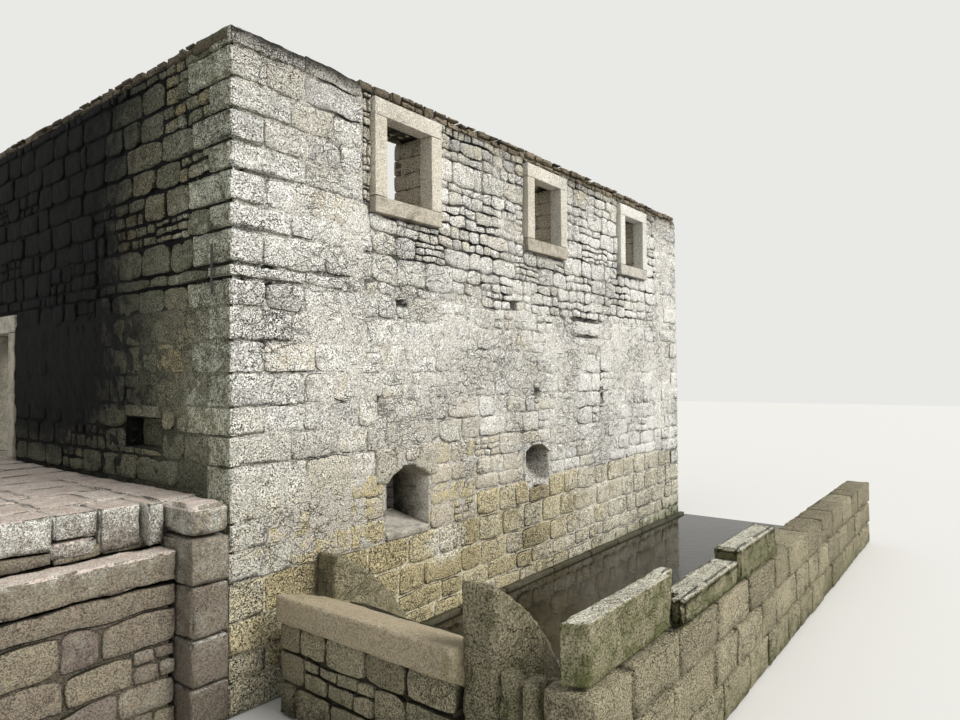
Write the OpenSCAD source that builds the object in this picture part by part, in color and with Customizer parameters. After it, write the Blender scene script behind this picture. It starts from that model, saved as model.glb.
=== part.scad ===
// Roofless stone watermill: four rubble walls, dressed window and door frames, entry landing and wheel race.
// The near front corner of the building is the working zero; frame() moves it to the base centre.

/* [Building] */
// Length of the front wall, along the wheel race
mill_len = 9500; // [8600:100:12000]
// Depth of the building, front face to back face
mill_depth = 7000; // [6800:100:9000]
// Thickness of the rubble walls
wall_t = 600; // [500:10:700]
// Height of the front wall head above the race floor
front_h = 5780; // [5750:10:6400]
// Height of the left wall head above the race floor
left_h = 5720; // [5600:10:6400]
// Height of the right and back wall heads above the race floor
rear_h = 5760; // [5750:10:6400]
// Height of the squared plinth below the wheel-shaft openings
plinth_h = 1070; // [900:10:1150]
// Height of the stone floor inside
floor_h = 1060; // [800:10:1070]

/* [Footing ledge] */
// Height of the ledge at the water line
ledge_h = 150; // [80:10:300]
// How far the ledge stands out of the front wall
ledge_out = 110; // [60:10:200]

/* [Windows] */
// Centre of the first front window, from the near corner
win_first = 2090; // [1400:10:2400]
// Distance between window centres
win_pitch = 2735; // [2000:5:2900]
// Width of the clear opening
win_w = 675; // [500:5:900]
// Height of the clear opening
win_open_h = 820; // [600:10:900]
// Underside of the front window sills below the highest stone of the wall
win_drop = 1390; // [1350:10:1600]
// Underside of the back and right window sills below the highest stone of their wall
rear_win_drop = 1370; // [1350:10:1600]
// Face width of a jamb stone
jamb_w = 170; // [120:5:220]
// Height of the sill stone
sill_h = 166; // [120:2:200]
// Height of the lintel stone
lintel_h = 176; // [120:2:190]
// How far a frame stone stands out of the wall
frame_out = 40; // [20:5:60]
// Depth of a frame stone inside the wall
frame_in = 140; // [100:10:250]
// Extra width of the rubble reveal on each side, behind the frame
reveal = 45; // [20:5:100]

/* [Wheel shaft openings] */
// Centre of the first opening, from the near corner
shaft_first = 2105; // [1500:5:2400]
// Distance between the two openings
shaft_pitch = 2495; // [1500:5:2900]
// Width of an opening
shaft_w = 650; // [500:10:800]
// Height of an opening up to the spring of its arch
shaft_spring = 600; // [450:10:700]
// Rise of the arch above its spring
shaft_rise = 140; // [80:10:250]
// Thickness of the sill slab at its outer edge
shaft_sill_front = 60; // [40:5:100]
// Thickness of the sill slab at its inner edge
shaft_sill_back = 180; // [100:10:250]

/* [Doorway] */
// Near edge of the doorway, from the near corner
door_y = 4900; // [3800:10:5200]
// Width of the doorway
door_w = 900; // [700:10:1000]
// Height of the doorway above the landing
door_h = 1550; // [1400:10:1900]
// Face width of a door jamb stone
door_jamb = 190; // [140:10:240]
// Height of the door lintel
door_lintel = 220; // [160:10:300]
// Depth of the door frame stones
door_frame = 300; // [200:10:400]
// Thickness of the threshold slab
threshold_t = 120; // [80:10:180]

/* [Wall niche] */
// Near edge of the niche in the left wall
niche_y = 1150; // [900:10:1500]
// Width of the niche
niche_w = 690; // [300:10:800]
// Height of the niche
niche_h = 280; // [200:10:400]
// Underside of the niche above the landing
niche_up = 320; // [200:10:600]
// Depth of the niche
niche_d = 200; // [100:10:300]

/* [Landing and step] */
// Width of the landing, from the left wall outwards
landing_w = 1600; // [1300:10:2200]
// Height of the landing above the race floor
landing_h = 1765; // [1600:5:1900]
// Distance of the landing front behind the front wall face
landing_back = 470; // [400:10:600]
// Thickness of the paving slabs
slab_t = 265; // [150:5:300]
// Length of one paving slab along the wall
slab_len = 1060; // [700:10:1500]
// Open joint between paving slabs
slab_gap = 14; // [6:1:25]
// Width of the corner pier
pier_w = 330; // [250:10:450]
// How far the corner pier stands before the front wall face
pier_out = 30; // [0:5:60]
// Height of the middle block of the pier
pier_mid_h = 370; // [250:10:450]
// Height of the step above the race floor
step_h = 1405; // [1250:5:1500]
// Thickness of the step block
step_t = 240; // [180:10:300]
// Depth of the tread in front of the landing
step_d = 300; // [250:10:420]

/* [Wheel race] */
// Clear width of the race, from the front wall face to the race wall
race_w = 2850; // [2400:10:3400]
// Thickness of the race wall
race_wall_t = 350; // [300:10:500]
// Height of the race wall, the level of the terrace
terrace_h = 990; // [800:10:1050]
// Start of the race wall, from the near corner
race_x = 280; // [200:10:500]
// Thickness of the race floor
bed_t = 80; // [50:5:140]
// Radius of the curved crest of both cheek stones
cheek_r = 2000; // [1700:50:2400]
// Slope of the crest where it begins, in degrees
cheek_a0 = 24; // [18:1:28]
// Slope of the crest where it ends, in degrees
cheek_a1 = 62; // [55:1:64]
// Thickness of the cheek stone at the wall
cheek_in_t = 230; // [150:10:300]
// Height of the cheek stone at the wall
cheek_in_h = 1160; // [1050:10:1300]
// Inner face of the free cheek stone, from the front wall face
cheek_out_y = 2100; // [1900:10:2300]
// Thickness of the free cheek stone
cheek_out_t = 260; // [200:10:320]
// Start of the free cheek stone
cheek_out_x = 400; // [300:10:600]
// Height of the free cheek stone
cheek_out_h = 1390; // [1200:10:1500]
// Slope of the free cheek stone's crest where it begins, in degrees
cheek_out_a0 = 28; // [22:1:32]
// Height of the rubble behind the free cheek stone where it begins
packing_h = 960; // [860:10:980]
// Radius of the apron between the cheeks
apron_r = 3000; // [2600:50:3300]
// Height of the apron at its upstream edge
apron_h = 970; // [850:10:1000]

/* [Kerb stones] */
// Thickness of a kerb stone
kerb_t = 240; // [180:10:300]
// Start of the first kerb stone and of the wall under it
kerb_1_x = 170; // [120:10:260]
// Length of the first kerb stone
kerb_1_len = 1280; // [1000:10:1500]
// Thickness of the first kerb stone
kerb_1_t = 160; // [150:5:200]
// How far the outer corner of its near end stands back
kerb_1_skew = 105; // [60:5:140]
// Length of the second kerb stone
kerb_2_len = 1250; // [900:10:1400]
// Length of the third kerb stone
kerb_3_len = 1150; // [900:10:1400]
// Height of the first kerb stone above the terrace
kerb_1_h = 385; // [250:5:450]
// Height of the second kerb stone above the terrace
kerb_2_h = 215; // [150:5:300]
// Height of the third kerb stone above the terrace
kerb_3_h = 300; // [200:5:400]
// Depth of the half lap between the first two kerb stones
kerb_lap = 130; // [60:10:180]
// Rounding of the kerb arrises
kerb_round = 35; // [15:5:50]

/* [Iron strap] */
// Length of the strap on the left wall
strap_l = 420; // [300:10:500]
// Width of the strap
strap_w = 22; // [15:1:30]
// Thickness of the strap
strap_t = 8; // [5:1:10]
// Distance of the strap from the corner
strap_y = 250; // [150:10:400]
// Height of the strap's lower end above the race floor
strap_z = 3440; // [3000:10:4000]

/* [Hidden] */
$fn = 48;
eps = 1;

// Colours of the finishes
limewashed = [0.66, 0.64, 0.58];
shaded = [0.45, 0.45, 0.40];
yellow_ashlar = [0.66, 0.60, 0.46];
dressed = [0.69, 0.62, 0.51];
worn = [0.52, 0.47, 0.42];
wet = [0.26, 0.26, 0.23];
iron = [0.30, 0.25, 0.22];

// Broken wall heads: each stretch has a share of the length and a drop below the highest stone
front_head = [
    [4, 60], [5, 25], [6, 80], [3, 40], [5, 0], [4, 30], [6, 70], [5, 45],
    [4, 20], [6, 55], [5, 10], [4, 40], [6, 0], [3, 25], [4, 5]
];
left_head = [
    [4, 0], [3, 45], [5, 20], [4, 90], [3, 60], [6, 130], [4, 75], [5, 55],
    [4, 100], [5, 70], [6, 40], [4, 110], [3, 60]
];
right_head = [
    [5, 20], [4, 70], [6, 40], [5, 110], [3, 75], [6, 50], [4, 120], [5, 60], [4, 0]
];
back_head = [
    [5, 40], [6, 90], [4, 50], [5, 130], [7, 100], [4, 60], [6, 20], [5, 80],
    [6, 120], [4, 70], [5, 0], [4, 35]
];

// Worked-out places
race_out = race_w + race_wall_t;
right_end = mill_len + frame_out;
back_end = mill_depth + frame_out;
win_total_w = win_w + 2 * jamb_w;
win_total_h = sill_h + win_open_h + lintel_h;
win_z = front_h - win_drop;
rear_win_z = rear_h - rear_win_drop;
slab_under = landing_h - slab_t;
pier_mid_z = slab_under - pier_mid_h;
right_x = mill_len - wall_t;
back_y = mill_depth - wall_t;
inside_w = mill_len - 2 * wall_t;
inside_d = mill_depth - 2 * wall_t;
right_win = mill_depth / 2;
kerb_2_x = kerb_1_x + kerb_1_len;
kerb_3_x = kerb_2_x + kerb_2_len;
apron_a0 = 12;
apron_a1 = acos(cos(apron_a0) - (apron_h - bed_t) / apron_r);
bed_x = race_x + apron_r * (sin(apron_a1) - sin(apron_a0));
cheek_len = cheek_r * (sin(cheek_a1) - sin(cheek_a0));
cheek_in_x = bed_x - cheek_len;
cheek_out_len = cheek_r * (sin(cheek_a1) - sin(cheek_out_a0));
cheek_out_far = cheek_out_x + cheek_out_len;
cheek_out_foot = cheek_out_h - cheek_r * (cos(cheek_out_a0) - cos(cheek_a1));

function shares(head, n) = n == 0 ? 0 : head[n - 1][0] + shares(head, n - 1);

// Two points for each stretch of a broken wall head, from 0 to the wall's length
function head_line(head, length, top) = [
    for (i = [0 : len(head) - 1])
        for (end = [0, 1])
            [length * shares(head, i + end) / shares(head, len(head)), top - head[i][1]]
];

// A falling crest: slope from a0 to a1 on a circle of radius r, starting at [x, z]
function crest(x, z, r, a0, a1, n = 12) = [
    for (i = [0 : n])
        let (a = a0 + (a1 - a0) * i / n)
        [x + r * (sin(a) - sin(a0)), z - r * (cos(a0) - cos(a))]
];

// Moves the near front corner to its place around the base centre
module frame() {
    translate([-(right_end - landing_w) / 2, -(back_end - race_out) / 2, 0]) children();
}

// Stands a drawing in the XZ plane at y, going thick inwards
module along_x(y, thick) {
    translate([0, y + thick, 0]) rotate([90, 0, 0]) linear_extrude(height = thick) children();
}

// Stands a drawing in the YZ plane at x, going thick to the right
module along_y(x, thick) {
    translate([x, 0, 0]) rotate([90, 0, 90]) linear_extrude(height = thick) children();
}

// Outline of a wall from its start to its end, with a broken head
module wall_outline(start, length, z0, head, top) {
    polygon(concat(
        [[start, z0]],
        [for (p = head_line(head, length, top)) [start + p[0], p[1]]],
        [[start + length, z0]]
    ));
}

// Hole for a window: a rebate for the frame at the face, and a wider rubble reveal behind it
module window_rebate() {
    translate([-win_total_w / 2, 0]) square([win_total_w, win_total_h]);
}

module window_reveal() {
    translate([-win_w / 2 - reveal, sill_h - reveal])
        square([win_w + 2 * reveal, win_open_h + 2 * reveal]);
}

module window_cut() {
    along_x(-eps, frame_in + eps) window_rebate();
    along_x(frame_in - eps, wall_t - frame_in + 2 * eps) window_reveal();
}

// The four stones of a window frame, centred on x = 0, with the wall face at y = 0 and the sill's
// underside at z = 0
module frame_sill() {
    along_x(-frame_out, frame_in + frame_out)
        translate([-win_total_w / 2, 0]) square([win_total_w, sill_h]);
}

module frame_lintel() {
    along_x(-frame_out, frame_in + frame_out)
        translate([-win_total_w / 2, sill_h + win_open_h]) square([win_total_w, lintel_h]);
}

// side is -1 for the near jamb and 1 for the far one
module frame_jamb(side) {
    along_x(-frame_out, frame_in + frame_out)
        translate([side * (win_w + jamb_w) / 2 - jamb_w / 2, sill_h])
            square([jamb_w, win_open_h]);
}

// Puts a window at each of the three places of the front wall
module at_front_window(i) {
    translate([win_first + i * win_pitch, 0, win_z]) children();
}

// Puts a window in the back wall or in the right end wall, facing outwards
module at_back_windows() {
    for (i = [0 : 2])
        translate([win_first + i * win_pitch, mill_depth, rear_win_z]) rotate([0, 0, 180]) children();
}

module at_right_window() {
    translate([mill_len, right_win, rear_win_z]) rotate([0, 0, 90]) children();
}

// Segment-headed wheel shaft opening, centred on x = 0 and standing on the plinth
module shaft_outline() {
    arch_r = (pow(shaft_w / 2, 2) + pow(shaft_rise, 2)) / (2 * shaft_rise);
    translate([-shaft_w / 2, plinth_h - eps]) square([shaft_w, shaft_spring + eps]);
    intersection() {
        translate([0, plinth_h + shaft_spring + shaft_rise - arch_r]) circle(r = arch_r, $fn = 96);
        translate([-shaft_w / 2, plinth_h + shaft_spring - eps])
            square([shaft_w, shaft_rise + 2 * eps]);
    }
}

module front_wall_base() {
    color(yellow_ashlar) frame() cube([mill_len, wall_t, plinth_h]);
}

module front_wall_ledge() {
    color(wet) frame()
        translate([bed_x, -ledge_out, 0]) cube([mill_len - bed_x, ledge_out, ledge_h]);
}

module front_wall_lower() {
    color(limewashed) frame() difference() {
        translate([0, 0, plinth_h]) cube([mill_len, wall_t, win_z - plinth_h]);
        for (i = [0, 1])
            translate([shaft_first + i * shaft_pitch, 0, 0])
                along_x(-eps, wall_t + 2 * eps) shaft_outline();
    }
}

module front_wall_upper() {
    color(limewashed) frame() difference() {
        along_x(0, wall_t) wall_outline(0, mill_len, win_z, front_head, front_h);
        for (i = [0 : 2]) at_front_window(i) window_cut();
    }
}

module left_wall() {
    color(shaded) frame() difference() {
        along_y(0, wall_t) wall_outline(wall_t, inside_d, 0, left_head, left_h);
        along_y(-eps, door_frame + eps)
            translate([door_y - door_jamb, landing_h - threshold_t])
                square([door_w + 2 * door_jamb, threshold_t + door_h + door_lintel]);
        along_y(door_frame - eps, wall_t - door_frame + 2 * eps)
            translate([door_y, landing_h - threshold_t])
                square([door_w, threshold_t + door_h + door_lintel / 2]);
        along_y(-eps, niche_d + eps)
            translate([niche_y, landing_h + niche_up]) square([niche_w, niche_h]);
    }
}

module right_wall() {
    color(shaded) frame() difference() {
        along_y(right_x, wall_t) wall_outline(wall_t, inside_d, 0, right_head, rear_h);
        at_right_window() window_cut();
    }
}

module back_wall() {
    color(shaded) frame() difference() {
        along_x(back_y, wall_t) wall_outline(0, mill_len, 0, back_head, rear_h);
        at_back_windows() window_cut();
    }
}

module stone_floor() {
    color(worn) frame() translate([wall_t, wall_t, 0]) cube([inside_w, inside_d, floor_h]);
}

module window_sill(i) { color(dressed) frame() at_front_window(i) frame_sill(); }
module window_jamb(i, side) { color(dressed) frame() at_front_window(i) frame_jamb(side); }
module window_lintel(i) { color(dressed) frame() at_front_window(i) frame_lintel(); }

module rear_window_sills() {
    color(dressed) frame() {
        at_back_windows() frame_sill();
        at_right_window() frame_sill();
    }
}

module rear_window_jambs() {
    color(dressed) frame() {
        for (side = [-1, 1]) {
            at_back_windows() frame_jamb(side);
            at_right_window() frame_jamb(side);
        }
    }
}

module rear_window_lintels() {
    color(dressed) frame() {
        at_back_windows() frame_lintel();
        at_right_window() frame_lintel();
    }
}

// Sloping slab in the first shaft opening, low at its outer edge
module shaft_sill() {
    color(dressed) frame()
        along_y(shaft_first - shaft_w / 2, shaft_w)
            polygon([
                [0, plinth_h], [wall_t, plinth_h],
                [wall_t, plinth_h + shaft_sill_back], [0, plinth_h + shaft_sill_front]
            ]);
}

// Rubble that fills the foot of the second shaft opening, broken down at its outer face
module shaft_infill() {
    fill_h = shaft_spring / 2;
    color(limewashed) frame()
        along_y(shaft_first + shaft_pitch - shaft_w / 2, shaft_w)
            polygon([
                [wall_t / 6, plinth_h], [wall_t, plinth_h],
                [wall_t, plinth_h + fill_h], [wall_t / 2, plinth_h + fill_h],
                [wall_t / 4, plinth_h + fill_h / 2]
            ]);
}

module door_threshold() {
    color(dressed) frame()
        translate([0, door_y - door_jamb, landing_h - threshold_t])
            cube([door_frame, door_w + 2 * door_jamb, threshold_t]);
}

module door_jamb_near() {
    color(dressed) frame()
        translate([0, door_y - door_jamb, landing_h]) cube([door_frame, door_jamb, door_h]);
}

module door_jamb_far() {
    color(dressed) frame()
        translate([0, door_y + door_w, landing_h]) cube([door_frame, door_jamb, door_h]);
}

module door_lintel_stone() {
    color(dressed) frame()
        translate([0, door_y - door_jamb, landing_h + door_h])
            cube([door_frame, door_w + 2 * door_jamb, door_lintel]);
}

module landing_core() {
    color(shaded) frame()
        translate([-landing_w, landing_back, 0])
            cube([landing_w, mill_depth - landing_back, slab_under]);
}

// Worn paving slabs in one row along the wall, with open joints
module landing_slabs() {
    run = mill_depth - landing_back;
    count = floor(run / slab_len);
    pitch = run / count;
    color(worn) frame()
        for (i = [0 : count - 1])
            translate([-landing_w, landing_back + i * pitch, slab_under])
                cube([landing_w, pitch - (i < count - 1 ? slab_gap : 0), slab_t]);
}

// One block of the corner pier, from z0 up
module pier_block(z0, height) {
    color(worn) frame()
        translate([-pier_w, -pier_out, z0]) cube([pier_w, landing_back + pier_out, height]);
}

module step_base() {
    color(shaded) frame()
        translate([-landing_w, landing_back - step_d, 0])
            cube([landing_w - pier_w, step_d, step_h - step_t]);
}

// Long worn step stone with a rounded nosing
module step_block() {
    nose = step_t / 6;
    color(worn) frame()
        along_y(-landing_w, landing_w - pier_w)
            union() {
                translate([landing_back - step_d + nose, step_h - step_t])
                    square([step_d - nose, step_t]);
                translate([landing_back - step_d, step_h - step_t])
                    square([nose + eps, step_t - nose]);
                translate([landing_back - step_d + nose, step_h - nose]) circle(r = nose);
            }
}

// Falling stone floor at the head of the race
module race_apron() {
    color(worn) frame()
        along_x(-cheek_out_y, cheek_out_y - cheek_in_t)
            polygon(concat(
                [[race_x, 0]],
                crest(race_x, apron_h, apron_r, apron_a0, apron_a1),
                [[bed_x, 0]]
            ));
}

// Stone floor of the race, from the foot of the apron and of the free cheek stone
module race_bed() {
    color(wet) frame()
        linear_extrude(height = bed_t)
            polygon([
                [bed_x, -ledge_out], [mill_len, -ledge_out], [mill_len, -race_w],
                [cheek_out_far, -race_w], [cheek_out_far, -cheek_out_y], [bed_x, -cheek_out_y]
            ]);
}

// Side view of a cheek stone: upright end, then the falling crest
module cheek_outline(x, height, length, a0) {
    polygon(concat(
        [[x, 0]],
        crest(x, height, cheek_r, a0, cheek_a1),
        [[x + length, 0]]
    ));
}

module race_cheek_inner() {
    color(worn) frame()
        along_x(-cheek_in_t, cheek_in_t)
            cheek_outline(cheek_in_x, cheek_in_h, cheek_len, cheek_a0);
}

// The free cheek stone stands like a slab, with rubble packed between it and the race wall
module race_cheek_outer() {
    back = cheek_out_y + cheek_out_t;
    color(worn) frame() union() {
        along_x(-back, cheek_out_t)
            cheek_outline(cheek_out_x, cheek_out_h, cheek_out_len, cheek_out_a0);
        along_x(-race_w, race_w - back + eps)
            polygon([
                [cheek_out_x, 0], [cheek_out_x, packing_h],
                [cheek_out_far, cheek_out_foot], [cheek_out_far, 0]
            ]);
    }
}

module race_wall() {
    color(shaded) frame()
        translate([kerb_1_x, -race_out, 0])
            cube([mill_len - kerb_1_x, race_wall_t, terrace_h]);
}

// Cross-section of a kerb stone with rounded upper arrises, its inner face in line with the others
module kerb_section(height, thick) {
    translate([kerb_t - race_out - thick, terrace_h]) {
        square([thick, height - kerb_round]);
        translate([kerb_round, height - kerb_round - eps])
            square([thick - 2 * kerb_round, kerb_round + eps]);
        for (y = [kerb_round, thick - kerb_round])
            translate([y, height - kerb_round]) circle(r = kerb_round);
    }
}

// The first kerb stone is thinner, cut slanting at its near end and cut back at its far end,
// where the second one laps it
module kerb_1() {
    inner = kerb_t - race_out;
    color(worn) frame() difference() {
        along_y(kerb_1_x, kerb_1_len + kerb_lap) kerb_section(kerb_1_h, kerb_1_t);
        translate([kerb_2_x, -race_out - eps, terrace_h - eps])
            cube([kerb_lap + eps, kerb_t / 2 + eps, kerb_1_h + 2 * eps]);
        translate([0, 0, terrace_h - eps])
            linear_extrude(height = kerb_1_h + 2 * eps)
                polygon([
                    [kerb_1_x - eps, inner + eps], [kerb_1_x - eps, inner - kerb_1_t - eps],
                    [kerb_1_x + kerb_1_skew, inner - kerb_1_t - eps], [kerb_1_x, inner + eps]
                ]);
    }
}

module kerb_2() {
    color(worn) frame() difference() {
        along_y(kerb_2_x, kerb_2_len) kerb_section(kerb_2_h, kerb_t);
        translate([kerb_2_x - eps, -race_out + kerb_t / 2, terrace_h - eps])
            cube([kerb_lap + eps, kerb_t / 2 + eps, kerb_2_h + 2 * eps]);
    }
}

module kerb_3() {
    color(worn) frame() along_y(kerb_3_x, kerb_3_len) kerb_section(kerb_3_h, kerb_t);
}

module wall_strap() {
    color(iron) frame()
        translate([-strap_t, strap_y, strap_z]) cube([strap_t, strap_w, strap_l]);
}

front_wall_base();
front_wall_ledge();
front_wall_lower();
front_wall_upper();
left_wall();
right_wall();
back_wall();
stone_floor();
window_sill(0);  // window_1_sill
window_jamb(0, -1);  // window_1_jamb_near
window_jamb(0, 1);  // window_1_jamb_far
window_lintel(0);  // window_1_lintel
window_sill(1);  // window_2_sill
window_jamb(1, -1);  // window_2_jamb_near
window_jamb(1, 1);  // window_2_jamb_far
window_lintel(1);  // window_2_lintel
window_sill(2);  // window_3_sill
window_jamb(2, -1);  // window_3_jamb_near
window_jamb(2, 1);  // window_3_jamb_far
window_lintel(2);  // window_3_lintel
rear_window_sills();
rear_window_jambs();
rear_window_lintels();
shaft_sill();
shaft_infill();
door_threshold();
door_jamb_near();
door_jamb_far();
door_lintel_stone();  // door_lintel
landing_core();
landing_slabs();
pier_block(0, pier_mid_z);  // pier_block_low
pier_block(pier_mid_z, pier_mid_h);  // pier_block_middle
pier_block(slab_under, slab_t);  // pier_block_top
step_base();
step_block();
race_apron();
race_bed();
race_cheek_inner();
race_cheek_outer();
race_wall();
kerb_1();
kerb_2();
kerb_3();
wall_strap();
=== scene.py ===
"""Looks of the roofless stone watermill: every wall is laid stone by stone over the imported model."""
import math
import random

import bmesh
import bpy
from mathutils import Matrix, Vector, noise


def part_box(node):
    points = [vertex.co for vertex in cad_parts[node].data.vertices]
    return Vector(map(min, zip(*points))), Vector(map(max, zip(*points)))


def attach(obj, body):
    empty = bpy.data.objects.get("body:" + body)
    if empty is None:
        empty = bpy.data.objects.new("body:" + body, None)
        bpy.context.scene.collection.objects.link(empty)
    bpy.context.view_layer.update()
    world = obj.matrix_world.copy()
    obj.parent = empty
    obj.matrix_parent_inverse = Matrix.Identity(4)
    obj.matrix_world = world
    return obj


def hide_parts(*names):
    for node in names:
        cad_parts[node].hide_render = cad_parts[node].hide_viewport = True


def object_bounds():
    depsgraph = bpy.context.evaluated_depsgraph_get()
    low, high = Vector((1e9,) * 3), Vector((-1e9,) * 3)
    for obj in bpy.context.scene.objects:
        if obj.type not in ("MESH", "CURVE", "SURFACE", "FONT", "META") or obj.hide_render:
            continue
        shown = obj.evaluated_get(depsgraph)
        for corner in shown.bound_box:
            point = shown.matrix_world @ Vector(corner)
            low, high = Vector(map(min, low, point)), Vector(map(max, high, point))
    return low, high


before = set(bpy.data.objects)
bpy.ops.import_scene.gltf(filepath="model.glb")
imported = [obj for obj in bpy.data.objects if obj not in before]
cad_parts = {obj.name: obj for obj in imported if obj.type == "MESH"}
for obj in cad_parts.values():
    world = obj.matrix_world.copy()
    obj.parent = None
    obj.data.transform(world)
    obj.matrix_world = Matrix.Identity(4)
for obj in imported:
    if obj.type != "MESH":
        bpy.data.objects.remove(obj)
cad_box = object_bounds()
# Without a seed of their own, noise vectors would differ from run to run
noise.seed_set(5)

# Main sizes, in metres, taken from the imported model. Places are counted from the near front corner:
# x along the front wall, y into the building, z up from the race floor.
CORNER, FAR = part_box("front_wall_base")
LONG = FAR.x - CORNER.x
WALL = FAR.y - CORNER.y
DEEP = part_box("back_wall")[1].y - CORNER.y
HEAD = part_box("front_wall_upper")[1].z
LEFT_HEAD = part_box("left_wall")[1].z
REAR_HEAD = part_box("back_wall")[1].z
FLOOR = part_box("stone_floor")[1].z
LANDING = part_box("landing_slabs")[1].z
AXIS_X = Vector((1, 0, 0))
AXIS_Y = Vector((0, 1, 0))
AXIS_Z = Vector((0, 0, 1))
SHIFT = Vector((CORNER.x, CORNER.y, 0))

# What each vertex of the masonry carries for its material
# soil_and_shade carries real soil and stains together with painted shade in joints, hollows and on the left
# wall
LAYERS = ("tint", "wash", "soil_and_shade", "damp")
# Width and depth of the rounded rim of a laid stone
RIM = 0.011
# All masonry starts this far above the lowest point of the object
FOOT = 0.003


def at(x, y, z):
    """A place counted from the near front corner, in the shared frame."""
    return Vector((CORNER.x + x, CORNER.y + y, z))


def clamp(value):
    """A share kept between 0 and 1."""
    return min(1.0, max(0.0, value))


def over(a, b):
    """How much a is over b, or nothing."""
    return max(0.0, a - b)


def local_box(node):
    """A node's lowest and highest corner, counted from the near front corner."""
    low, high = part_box(node)
    return low - SHIFT, high - SHIFT


def make_camera():
    """The photograph's viewpoint, at eye level above the terrace."""
    yaw, pitch, roll = math.radians(52.3075), math.radians(1.2764), math.radians(0.3647)
    ahead = Vector((math.sin(yaw) * math.cos(pitch), math.cos(yaw) * math.cos(pitch), math.sin(pitch)))
    right = Vector((math.cos(yaw), -math.sin(yaw), 0))
    down = -right.cross(ahead)
    side = right * math.cos(roll) + down * math.sin(roll)
    drop = down * math.cos(roll) - right * math.sin(roll)
    camera = new_object("camera", bpy.data.cameras.new("camera"))
    camera.data.sensor_width = 36
    camera.data.lens = 25.5
    turn = Matrix((side, -drop, -ahead)).transposed()
    camera.matrix_world = Matrix.Translation(at(-3.1132, -4.9685, 2.75)) @ turn.to_4x4()
    bpy.context.scene.camera = camera


def new_object(name, data):
    """An object in the scene for the given mesh, light or camera."""
    made = bpy.data.objects.new(name, data)
    bpy.context.scene.collection.objects.link(made)
    return made


# Materials
def colour(code):
    """Linear colour of an sRGB hex value."""
    parts = [int(code[i:i + 2], 16) / 255 for i in (0, 2, 4)]
    return [c / 12.92 if c <= 0.04045 else ((c + 0.055) / 1.055) ** 2.4 for c in parts] + [1]


def add(tree, kind, inputs=None, out=0, stops=(), **settings):
    """Adds a node with what is named set and its inputs linked or filled, and returns one of its outputs."""
    node = tree.nodes.new("ShaderNode" + kind)
    for key, value in settings.items():
        setattr(node, key, value)
    for key, value in (inputs or {}).items():
        if isinstance(value, bpy.types.NodeSocket):
            tree.links.new(value, node.inputs[key])
        else:
            node.inputs[key].default_value = value
    for i, (spot, code) in enumerate(stops):
        ramp = node.color_ramp.elements
        stop = ramp[i] if i < 2 else ramp.new(spot)
        stop.position = spot
        stop.color = colour(code)
    return node.outputs[out] if node.outputs else None


def begin_material(name):
    """A new material, its emptied node tree, and the place of each point on the object."""
    material = bpy.data.materials.new(name)
    material.use_nodes = True
    tree = material.node_tree
    tree.nodes.clear()
    return material, tree, add(tree, "TexCoord", out="Object")


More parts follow.
